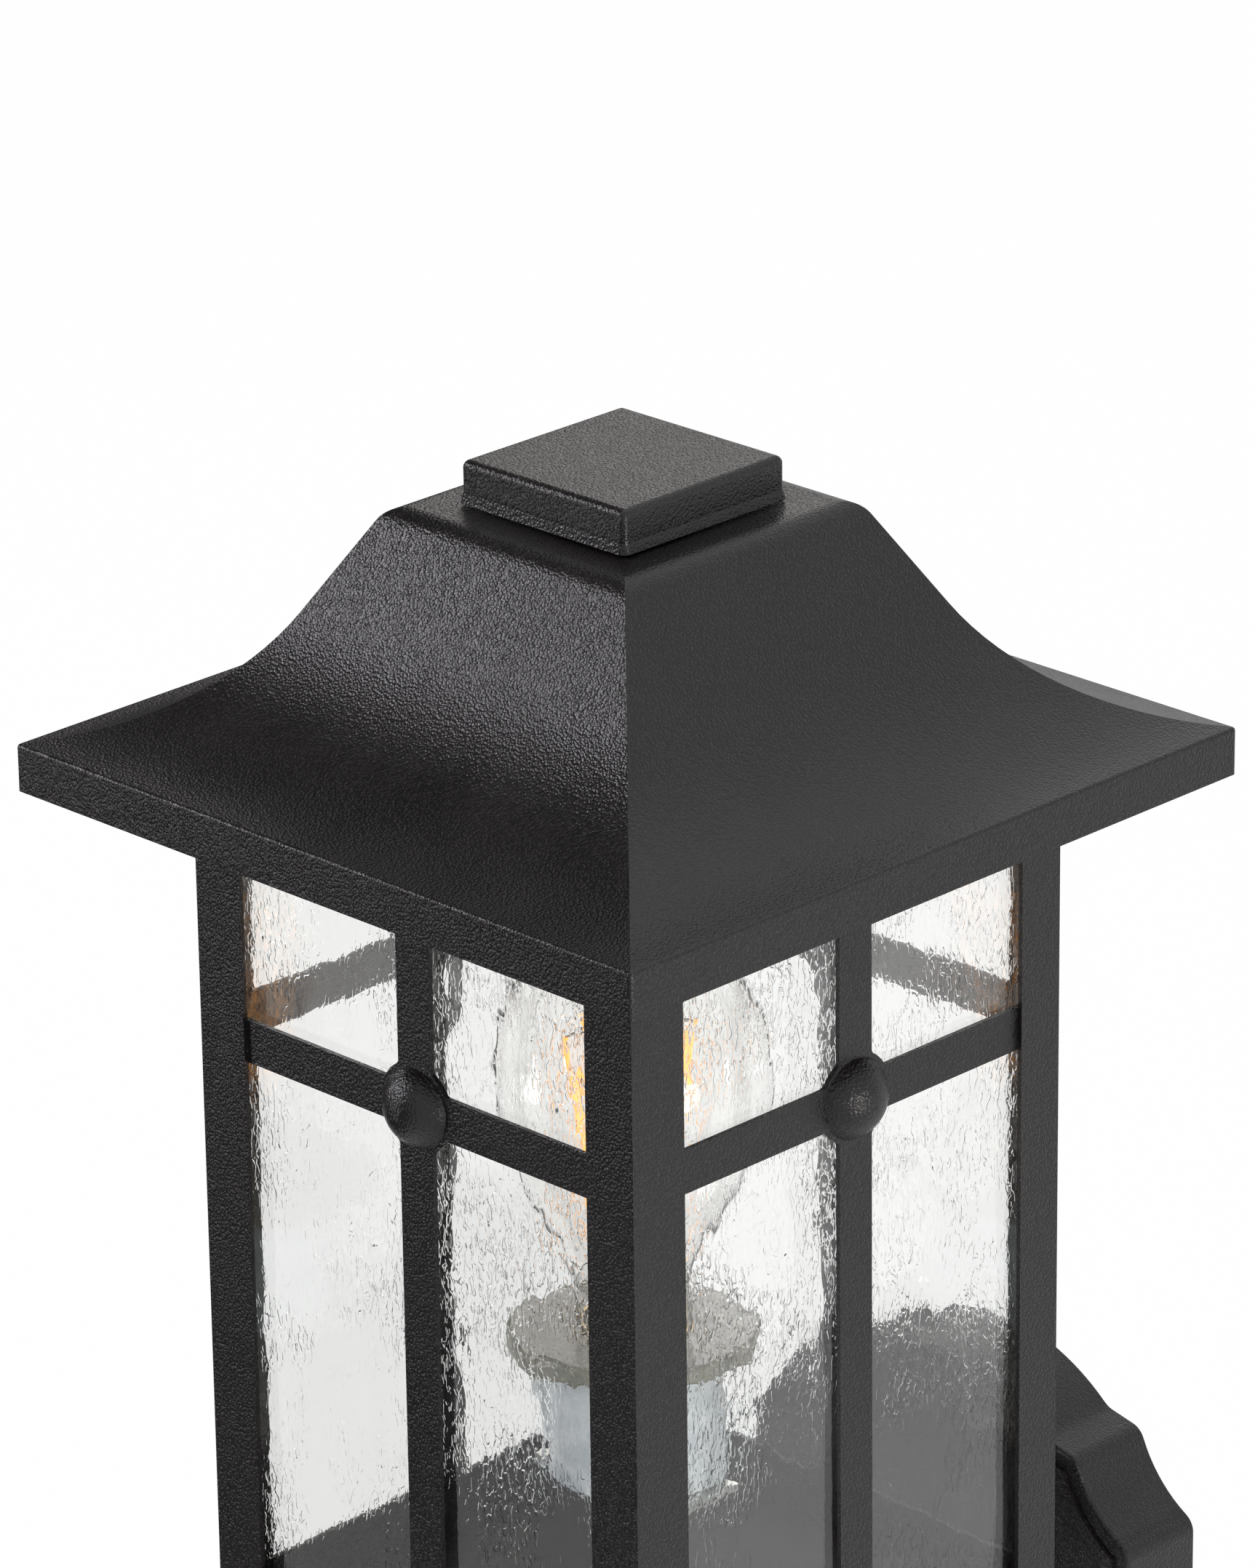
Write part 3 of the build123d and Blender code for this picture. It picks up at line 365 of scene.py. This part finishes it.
def powder_coat(name, base, roughness, grain, grain_height, dust_amount):
    """Black powder coat with a fine grain that sparkles where light rakes over it, and painted glints:
    the grain's peaks are painted lighter.
    """
    material, shader, principled, _ = new_material(name, {"Roughness": roughness})
    place = shader.object_place()
    inside = inside_floor_mask(shader, place)
    gloss = shader.math("MULTIPLY_ADD", inside, floor_gloss - coat_gloss, coat_gloss)
    shader.feed(principled.inputs["Specular IOR Level"], gloss)
    texture = use_group(shader, "grain", {"Place": place, "Grain": grain})
    tone = use_group(shader, "mottle", {"Place": place, "Scale": coat_mottle_scale})["Mask"]
    dust = use_group(shader, "dust", {"Place": place, "Amount": dust_amount})["Mask"]
    darker = tuple(value * 0.82 for value in base)
    coat = shader.blend(tone, colour(*darker), colour(*base))
    # painted glints: the peaks of the grain are painted lighter than the coat
    painted_glint_colour = tuple(min(1.0, value * painted_glint_gain) for value in base)
    coat = shader.blend(texture["Peaks"], coat, colour(*painted_glint_colour))
    coat = shader.blend(dust, coat, colour(*dust_colour))
    shader.feed(principled.inputs["Base Color"], coat)
    rough = shader.math("MULTIPLY_ADD", tone, 0.05, roughness - 0.025)
    rough = shader.math("MULTIPLY_ADD", dust, dust_roughening, rough)
    rough = shader.math("MULTIPLY_ADD", inside, floor_roughening, rough)
    shader.feed(principled.inputs["Roughness"], rough)
    shader.feed(principled.inputs["Normal"], shader.bump(texture["Height"], grain_height))
    return material


def bare_metal(name, base, roughness, scratch_height):
    """Plated or plain metal with fine scratches and a few dull patches."""
    material, shader, principled, _ = new_material(name, {"Metallic": 1.0, "Roughness": roughness})
    place = shader.object_place()
    tone = use_group(shader, "mottle", {"Place": place, "Scale": 160.0})["Mask"]
    scratch = use_group(shader, "scratch", {"Place": place})["Height"]
    duller = tuple(value * 0.78 for value in base)
    shader.feed(principled.inputs["Base Color"], shader.blend(tone, colour(*duller), colour(*base)))
    rough = shader.math("MULTIPLY_ADD", tone, -0.12, roughness + 0.08)
    shader.feed(principled.inputs["Roughness"], rough)
    shader.feed(principled.inputs["Normal"], shader.bump(scratch, scratch_height))
    return material


def moulded(name, base, roughness, grain, grain_height, coat=0.0):
    """Plastic, rubber or glaze, with a faint texture and slow changes of tone."""
    settings = {"Roughness": roughness, "Coat Weight": coat, "Coat Roughness": 0.08}
    material, shader, principled, _ = new_material(name, settings)
    place = shader.object_place()
    tone = use_group(shader, "mottle", {"Place": place, "Scale": 90.0})["Mask"]
    texture = use_group(shader, "grain", {"Place": place, "Grain": grain})
    duller = tuple(value * 0.86 for value in base)
    shader.feed(principled.inputs["Base Color"], shader.blend(tone, colour(*duller), colour(*base)))
    rough = shader.math("MULTIPLY_ADD", tone, -0.06, roughness + 0.03)
    shader.feed(principled.inputs["Roughness"], rough)
    shader.feed(principled.inputs["Normal"], shader.bump(texture["Height"], grain_height))
    return material


def let_light_through(shader, principled, output, tint):
    """Lets lamps shine through glass without the noise of bent light."""
    path = shader.add("ShaderNodeLightPath")
    clear = shader.add("ShaderNodeBsdfTransparent", {"Color": tint})
    mixed = shader.add("ShaderNodeMixShader", {
        0: path.outputs["Is Shadow Ray"],
        1: principled.outputs["BSDF"],
        2: clear.outputs["BSDF"],
    })
    shader.feed(output.inputs["Surface"], mixed.outputs["Shader"])


def water_glass():
    """Clear sheet glass with fine flowing ripples, over the waves that the mesh has."""
    settings = {"Roughness": 0.0, "IOR": 1.58, "Transmission Weight": 1.0}
    material, shader, principled, output = new_material("water_glass", settings)
    place = shader.object_place()
    tone = use_group(shader, "mottle", {"Place": place, "Scale": 14.0})["Mask"]
    tint = shader.blend(tone, colour(0.970, 0.974, 0.966), colour(0.982, 0.984, 0.978))
    shader.feed(principled.inputs["Base Color"], tint)
    drawn = shader.stretch(place, dimple_stretch)
    dimples = shader.step(shader.noise(drawn, dimple_scale, detail=0.0, distortion=0.8), 0.56, 0.68)
    broad = shader.noise(drawn, broad_scale, detail=1.0, roughness=0.4, distortion=0.4)
    patches = shader.step(shader.noise(place, patch_scale), 0.42, 0.60, 0.15, 1.0)
    dimples = shader.math("MULTIPLY", dimples, patches)
    ripple = shader.math("MULTIPLY_ADD", broad, broad_share, dimples)
    shader.feed(principled.inputs["Normal"], shader.bump(ripple, glass_bump))
    let_light_through(shader, principled, output, colour(0.93, 0.95, 0.94))
    return material


def holder_glaze():
    """Glazed pale porcelain, with its rim painted olive and darker as painted warm light and shade, and
    painted dark flecks.
    """
    material, shader, principled, _ = new_material("porcelain", {"Coat Weight": 0.12})
    place = shader.object_place()
    clouds = use_group(shader, "mottle", {"Place": place, "Scale": cloud_scale})["Mask"]
    specks = shader.step(shader.noise(place, speck_scale, roughness=0.6), 0.50, 0.66)
    # painted warm light and shade: the olive rim stands in for the filaments' warm light and the dim
    # inside on white porcelain; the dark specks are painted flecks of the rippled glass
    painted_glow_rim = shader.blend(clouds, colour(0.085, 0.085, 0.062), colour(0.20, 0.19, 0.135))
    painted_fleck_mask = shader.math("MULTIPLY", specks, painted_fleck_share)
    painted_glow_rim = shader.blend(painted_fleck_mask, painted_glow_rim, colour(0.04, 0.05, 0.05))
    pale = shader.blend(clouds, colour(0.36, 0.40, 0.43), colour(0.56, 0.59, 0.61))
    rim_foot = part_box("lampholder")[1].z - painted_rim_height
    rim = shader.step(shader.height_of(place), rim_foot - painted_rim_fade, rim_foot)
    shader.feed(principled.inputs["Base Color"], shader.blend(rim, pale, painted_glow_rim))
    shader.feed(principled.inputs["Roughness"], shader.math("MULTIPLY_ADD", specks, 0.2, 0.2))
    texture = use_group(shader, "grain", {"Place": place, "Grain": 500.0})
    shader.feed(principled.inputs["Normal"], shader.bump(texture["Height"], 0.00004))
    return material


def lamp_glass():
    """Thin clear glass of the bulb."""
    settings = {"Roughness": 0.0, "IOR": 1.45, "Transmission Weight": 1.0}
    material, shader, principled, output = new_material("lamp_glass", settings)
    place = shader.object_place()
    tone = use_group(shader, "mottle", {"Place": place, "Scale": 25.0})["Mask"]
    tint = shader.blend(tone, colour(0.985, 0.98, 0.97), colour(0.995, 0.99, 0.985))
    shader.feed(principled.inputs["Base Color"], tint)
    waves = shader.noise(place, 60.0, detail=1.0)
    shader.feed(principled.inputs["Normal"], shader.bump(waves, 0.0002))
    let_light_through(shader, principled, output, colour(0.95, 0.95, 0.94))
    return material


def glowing_filament():
    """Warm glow, a little uneven along the rod."""
    settings = {"Roughness": 0.6, "Emission Strength": filament_glow}
    material, shader, principled, _ = new_material("glowing_filament", settings, colour(0.8, 0.4, 0.12))
    place = shader.object_place()
    flicker = shader.step(shader.noise(place, 900.0, detail=1.0), 0.3, 0.7)
    glow = shader.blend(flicker, colour(1.0, 0.38, 0.05), colour(1.0, 0.50, 0.12))
    shader.feed(principled.inputs["Emission Color"], glow)
    return material


def make_finishes():
    """Every finish, by the name of its slot in the record."""
    return {
        "black_coat": powder_coat("black_coat", (0.0066, 0.0052, 0.0054), 0.32, 1500.0, 0.00013, 0.014),
        "water_glass": water_glass(),
        "clear_glass": lamp_glass(),
        "porcelain": holder_glaze(),
        "brass": bare_metal("brass", (0.78, 0.56, 0.26), 0.28, 0.00003),
        "zinc_steel": bare_metal("zinc_steel", (0.60, 0.60, 0.57), 0.34, 0.00003),
        "spring_steel": bare_metal("spring_steel", (0.48, 0.49, 0.51), 0.28, 0.00002),
        "solder": bare_metal("solder", (0.62, 0.62, 0.63), 0.45, 0.00004),
        "wire_metal": bare_metal("wire_metal", (0.55, 0.52, 0.48), 0.35, 0.00001),
        "filament": glowing_filament(),
        "black_insulator": moulded("black_insulator", (0.015, 0.015, 0.018), 0.12, 700.0, 0.00001, 0.4),
        "black_rubber": moulded("black_rubber", (0.022, 0.022, 0.022), 0.7, 900.0, 0.00006),
        "foam": moulded("foam", (0.035, 0.035, 0.036), 0.9, 1300.0, 0.0003),
        "green_screw": bare_metal("green_screw", (0.10, 0.38, 0.16), 0.32, 0.00003),
        "connector_plastic": moulded("connector_plastic", (0.78, 0.25, 0.04), 0.42, 900.0, 0.00004),
        "black_lead": moulded("black_lead", (0.018, 0.018, 0.019), 0.38, 800.0, 0.00002),
        "white_lead": moulded("white_lead", (0.80, 0.80, 0.77), 0.38, 800.0, 0.00002),
        "green_lead": moulded("green_lead", (0.05, 0.34, 0.10), 0.38, 800.0, 0.00002),
    }


finishes = make_finishes()
slot_of = {part["node"]: part["material_slot"] for part in frame["record"]["subparts"]}
record_bodies = frame["record"]["behaviour"]["bodies"]
body_of = {node: body for body, names in record_bodies.items() for node in names}


def finish_cad_nodes():
    """Gives every carried-over node the finish of its slot."""
    for name, obj in nodes.items():
        material = finishes[slot_of[name]]
        obj.data.materials.clear()
        obj.data.materials.append(material)


def add_piece(name, mesh, body, slot_name, replaced=()):
    """Puts a mesh in the scene as a piece of the lamp that rides on a body."""
    obj = bpy.data.objects.new(name, mesh)
    bpy.context.scene.collection.objects.link(obj)
    mesh.materials.append(finishes[slot_name])
    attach(obj, body)
    if replaced:
        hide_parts(*replaced)


# Water glass panes

def pane_height(along, up, seed):
    """The broad wave and the swirl of the glass at a place on the pane, each about -1 to 1."""
    place = Vector((along / wave_length, up / (wave_length * 1.7), seed))
    broad = noise.noise(place)
    swirl_place = Vector((along / swirl_length + broad * 1.2, up / (swirl_length * 2.0), seed + 7.0))
    swirl = noise.noise(swirl_place)
    return broad, swirl


def rippled_pane(face, seed):
    """A pane with waves on both sides, inside the space of its plain slab."""
    node = f"glass_pane_{face}"
    low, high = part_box(node)
    size = high - low
    thin = min(range(2), key=lambda axis: size[axis])
    along = 1 - thin
    columns = round(size[along] / ripple_cell)
    rows = round(size[2] / ripple_cell)
    room = wave_height + swirl_height
    mesh_builder = bmesh.new()
    grids = []
    for side, level, push in ((0, low[thin], 1.0), (1, high[thin], -1.0)):
        grid = []
        for row in range(rows + 1):
            line = []
            for column in range(columns + 1):
                flat = size[along] * column / columns
                up = size[2] * row / rows
                broad, swirl = pane_height(flat, up, seed + side * far_side_seed)
                sunk = room * 0.5 + 0.5 * (broad * wave_height + swirl * swirl_height)
                place = [0.0, 0.0, low[2] + up]
                place[along] = low[along] + flat
                place[thin] = level + push * max(0.0, sunk)
                line.append(mesh_builder.verts.new(place))
            grid.append(line)
        grids.append(grid)
    for row in range(rows):
        for column in range(columns):
            for grid in grids:
                corners = (grid[row][column], grid[row][column + 1],
                           grid[row + 1][column + 1], grid[row + 1][column])
                mesh_builder.faces.new(corners)
    near, far = grids
    border = [(0, column) for column in range(columns)]
    border += [(row, columns) for row in range(rows)]
    border += [(rows, column) for column in range(columns, 0, -1)]
    border += [(row, 0) for row in range(rows, 0, -1)]
    for index, (row, column) in enumerate(border):
        next_row, next_column = border[(index + 1) % len(border)]
        corners = (near[row][column], near[next_row][next_column],
                   far[next_row][next_column], far[row][column])
        mesh_builder.faces.new(corners)
    bmesh.ops.recalc_face_normals(mesh_builder, faces=mesh_builder.faces)
    for surface in mesh_builder.faces:
        surface.smooth = abs(surface.normal[thin]) > 0.7
    mesh = bpy.data.meshes.new(f"rippled_pane_{face}")
    mesh_builder.to_mesh(mesh)
    mesh_builder.free()
    add_piece(f"rippled_pane_{face}", mesh, "fixture", "water_glass", (node,))


# Threaded and ribbed pieces

def solid_boxes(node):
    """The lowest and highest corners of each separate solid in a node, from its mesh."""
    builder = bmesh.new()
    builder.from_mesh(nodes[node].data)
    bmesh.ops.remove_doubles(builder, verts=builder.verts, dist=1e-6)
    waiting = set(builder.verts)
    boxes = []
    for start in builder.verts:
        if start not in waiting:
            continue
        waiting.remove(start)
        found = [start]
        for vertex in found:
            for edge in vertex.link_edges:
                other = edge.other_vert(vertex)
                if other in waiting:
                    waiting.remove(other)
                    found.append(other)
        places = [vertex.co for vertex in found]
        low = Vector([min(place[axis] for place in places) for axis in range(3)])
        high = Vector([max(place[axis] for place in places) for axis in range(3)])
        boxes.append((low, high))
    builder.free()
    return boxes


def ring(middle, axis, along, radii):
    """A closed ring of points round an axis, with one radius for each of its corners."""
    first, second = [number for number in range(3) if number != axis]
    points = []
    for index, radius in enumerate(radii):
        angle = 2 * math.pi * index / len(radii)
        place = [0.0, 0.0, 0.0]
        place[axis] = along
        place[first] = middle[first] + radius * math.cos(angle)
        place[second] = middle[second] + radius * math.sin(angle)
        points.append(place)
    return points


def even_ring(middle, axis, along, radius):
    """A closed ring of points with one radius."""
    return ring(middle, axis, along, [radius] * turn_corners)


def skin(builder, rings, joined):
    """Faces between rings one after another, joined last to first, or closed at both ends."""
    loops = [[builder.verts.new(place) for place in points] for points in rings]
    pairs = list(zip(loops, loops[1:]))
    if joined:
        pairs.append((loops[-1], loops[0]))
    for lower, upper in pairs:
        for index in range(len(lower)):
            after = (index + 1) % len(lower)
            builder.faces.new((lower[index], lower[after], upper[after], upper[index]))
    if not joined:
        builder.faces.new(loops[0])
        builder.faces.new(loops[-1])


def thread_rings(middle, axis, low, high, radius, depth, pitch, end_taper, rounded=False):
    """Rings of a helical thread from low to high, with tapered ends."""
    steps = max(2, round((high - low) / pitch * rows_a_thread))
    rings = []
    for step in range(steps + 1):
        along = low + (high - low) * step / steps
        end_room = min(along - low, high - along)
        cut = depth * max(0.0, 1.0 - end_room / end_taper)
        radii = []
        for index in range(turn_corners):
            phase = ((along - low) / pitch - index / turn_corners) % 1.0
            crest = 1.0 - abs(2.0 * phase - 1.0)
            if rounded:
                crest = 0.5 - 0.5 * math.cos(2 * math.pi * phase)
            radii.append(min(radius - depth * (1.0 - crest), radius - cut))
        rings.append(ring(middle, axis, along, radii))
    return rings


def finish_mesh(name, builder):
    """Turns a builder into a mesh with smooth faces between sharp edges."""
    bmesh.ops.recalc_face_normals(builder, faces=builder.faces)
    for surface in builder.faces:
        surface.smooth = len(surface.verts) <= 4
    for edge in builder.edges:
        edge.smooth = len(edge.link_faces) == 2 and edge.calc_face_angle() < crease_angle
    mesh = bpy.data.meshes.new(name)
    builder.to_mesh(mesh)
    builder.free()
    return mesh


def threaded_piece(name, node, axis, pitch, bore=0.0):
    """Threaded rods or tubes in the space of a node's plain ones."""
    builder = bmesh.new()
    depth = pitch * thread_depth_share
    for low, high in solid_boxes(node):
        middle = (low + high) / 2
        across = (axis + 1) % 3
        radius = (high[across] - low[across]) / 2
        rings = thread_rings(middle, axis, low[axis], high[axis], radius, depth, pitch, pitch)
        if bore:
            rings.append(even_ring(middle, axis, high[axis], bore))
            rings.append(even_ring(middle, axis, low[axis], bore))
        skin(builder, rings, joined=bore > 0)
    add_piece(name, finish_mesh(name, builder), body_of[node], slot_of[node], (node,))


def threaded_cap():
    """The bulb's screw cap: a rolled thread under a plain collar, with a tapered foot."""
    low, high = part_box("bulb_cap")
    middle = (low + high) / 2
    radius = (high.x - low.x) / 2
    root = radius - cap_thread_depth
    thread_foot = low.z + cap_foot_taper
    thread_top = high.z - cap_collar - cap_thread_depth
    rings = [even_ring(middle, 2, low.z, root - cap_foot_taper * 0.6)]
    rings += thread_rings(middle, 2, thread_foot, thread_top, radius, cap_thread_depth, cap_pitch,
                          cap_pitch * cap_end_taper, rounded=True)
    for height, size in ((high.z - cap_collar, radius), (high.z, radius), (high.z, root - cap_wall),
                         (thread_foot, root - cap_wall), (low.z + cap_wall, root - cap_foot_taper)):
        rings.append(even_ring(middle, 2, height, size))
    builder = bmesh.new()
    skin(builder, rings, joined=False)
    mesh = finish_mesh("threaded_cap", builder)
    add_piece("threaded_cap", mesh, "bulb", slot_of["bulb_cap"], ("bulb_cap",))


def ribbed_connectors():
    """Twist-on connectors: a plain skirt, ribs for the fingers and a domed tip."""
    builder = bmesh.new()
    for low, high in solid_boxes("wire_connectors"):
        middle = (low + high) / 2
        radius = (high.y - low.y) / 2
        mouth, tip = (low.x, high.x) if middle.x > 0 else (high.x, low.x)
        length = tip - mouth
        bore = radius * 0.7
        profile = [(0.62, bore * 0.8, 0.0), (0.0, bore, 0.0), (0.0, radius * 0.96, 0.0)]
        profile += [(0.02, radius, 0.0), (0.16, radius, 0.0), (0.20, radius * 0.95, 0.0)]
        for step in range(connector_steps + 1):
            share = step / connector_steps
            size = radius * (0.93 - 0.27 * share)
            profile.append((0.24 + 0.62 * share, size, connector_rib_depth))
        profile += [(0.92, radius * 0.58, 0.03), (0.97, radius * 0.42, 0.0), (1.0, radius * 0.2, 0.0)]
        rings = []
        for share, size, rib in profile:
            radii = []
            for index in range(connector_corners):
                wave = math.cos(2 * math.pi * connector_ribs * index / connector_corners)
                radii.append(size * (1.0 - rib * (0.5 - 0.5 * wave)))
            rings.append(ring(middle, 0, mouth + length * share, radii))
        skin(builder, rings, joined=False)
    mesh = finish_mesh("ribbed_connectors", builder)
    add_piece("ribbed_connectors", mesh, "fixture", slot_of["wire_connectors"], ("wire_connectors",))


# Stage, light and camera

def set_world():
    """White behind everything that the camera, glass and gloss see, and a softer light on the lamp."""
    world = bpy.data.worlds.new("studio")
    bpy.context.scene.world = world
    world.use_nodes = True
    world.node_tree.nodes.clear()
    shader = Shader(world.node_tree)
    path = shader.add("ShaderNodeLightPath")
    direction = shader.add("ShaderNodeTexCoord").outputs["Generated"]
    fade = shader.white_for(path, direction)
    ambient = {"Color": colour(0.97, 0.98, 1.0), "Strength": ambient_strength}
    light = shader.add("ShaderNodeBackground", ambient)
    white = shader.add("ShaderNodeBackground", {"Color": colour(1, 1, 1), "Strength": fade})
    mixed = shader.add("ShaderNodeMixShader", {
        0: shader.seen_rays(path), 1: light.outputs["Background"], 2: white.outputs["Background"],
    })
    shader.add("ShaderNodeOutputWorld", {"Surface": mixed.outputs["Shader"]})


def add_floor():
    """A pale floor under the lamp that looks white, keeps the shadow and is clear from below."""
    material = bpy.data.materials.new("pale_floor")
    material.use_nodes = True
    material.node_tree.nodes.clear()
    shader = Shader(material.node_tree)
    path = shader.add("ShaderNodeLightPath")
    grey = colour(floor_grey, floor_grey, floor_grey)
    plain = shader.add("ShaderNodeBsdfDiffuse", {"Color": grey})
    place = shader.add("ShaderNodeNewGeometry").outputs["Position"]
    fade = shader.white_for(path, place)
    white = shader.add("ShaderNodeEmission", {"Color": colour(1, 1, 1), "Strength": fade})
    share = shader.math("MULTIPLY", shader.seen_rays(path), floor_white_share)
    mixed = shader.add("ShaderNodeMixShader", {
        0: share, 1: plain.outputs["BSDF"], 2: white.outputs["Emission"],
    })
    from_below = shader.add("ShaderNodeMixShader", {
        0: shader.add("ShaderNodeNewGeometry").outputs["Backfacing"],
        1: mixed.outputs["Shader"],
        2: shader.add("ShaderNodeBsdfTransparent").outputs["BSDF"],
    })
    shader.add("ShaderNodeOutputMaterial", {"Surface": from_below.outputs["Shader"]})
    mesh = bpy.data.meshes.new("pale_floor")
    half = floor_size / 2
    height = cad_box[0][2] - floor_drop
    corners = [(x * half, y * half, height) for x, y in ((-1, -1), (1, -1), (1, 1), (-1, 1))]
    mesh.from_pydata(corners, [], [(0, 1, 2, 3)])
    mesh.materials.append(material)
    floor = bpy.data.objects.new("pale_floor", mesh)
    bpy.context.scene.collection.objects.link(floor)


def add_soft_light(name, offset, width, height, power, tint):
    """A rectangular lamp that points at the lantern."""
    place = lantern_middle + Vector(offset)
    data = bpy.data.lights.new(name, "AREA")
    data.shape = "RECTANGLE"
    data.size = width
    data.size_y = height
    data.energy = power
    data.color = tint
    lamp = bpy.data.objects.new(name, data)
    bpy.context.scene.collection.objects.link(lamp)
    lamp.location = place
    lamp.rotation_euler = (lantern_middle - place).to_track_quat("-Z", "Y").to_euler()


def add_camera():
    """The photograph's view."""
    turn, tip, roll = camera_turn, camera_tip, camera_roll
    forward = Vector((-math.sin(turn) * math.cos(tip), math.cos(turn) * math.cos(tip), -math.sin(tip)))
    level = Vector((math.cos(turn), math.sin(turn), 0.0))
    upward = level.cross(forward)
    right = level * math.cos(roll) + upward * math.sin(roll)
    up = upward * math.cos(roll) - level * math.sin(roll)
    place = camera_aim - forward * camera_distance
    data = bpy.data.cameras.new("camera")
    data.sensor_width = sensor_size
    data.lens = focal_pixels * sensor_size / image_height
    data.clip_end = far_clip
    camera = bpy.data.objects.new("camera", data)
    axes = Matrix((right, up, -forward)).transposed().to_4x4()
    camera.matrix_world = Matrix.Translation(place) @ axes
    bpy.context.scene.collection.objects.link(camera)
    bpy.context.scene.camera = camera


finish_cad_nodes()
for number, face_name in enumerate(("front", "right", "back", "left")):
    rippled_pane(face_name, first_seed + seed_step * number)
threaded_piece("threaded_rod", "roof_rod", 2, rod_pitch)
threaded_piece("threaded_lantern_tube", "lantern_tube", 2, tube_pitch, bore=tube_bore)
threaded_piece("threaded_wall_tube", "wall_tube", 1, tube_pitch, bore=tube_bore)
threaded_piece("threaded_studs", "strap_studs", 1, stud_pitch)
threaded_cap()
ribbed_connectors()
set_world()
add_floor()
for lamp_settings in lamps:
    add_soft_light(*lamp_settings)
add_camera()
bpy.context.scene.view_settings.view_transform = "Standard"
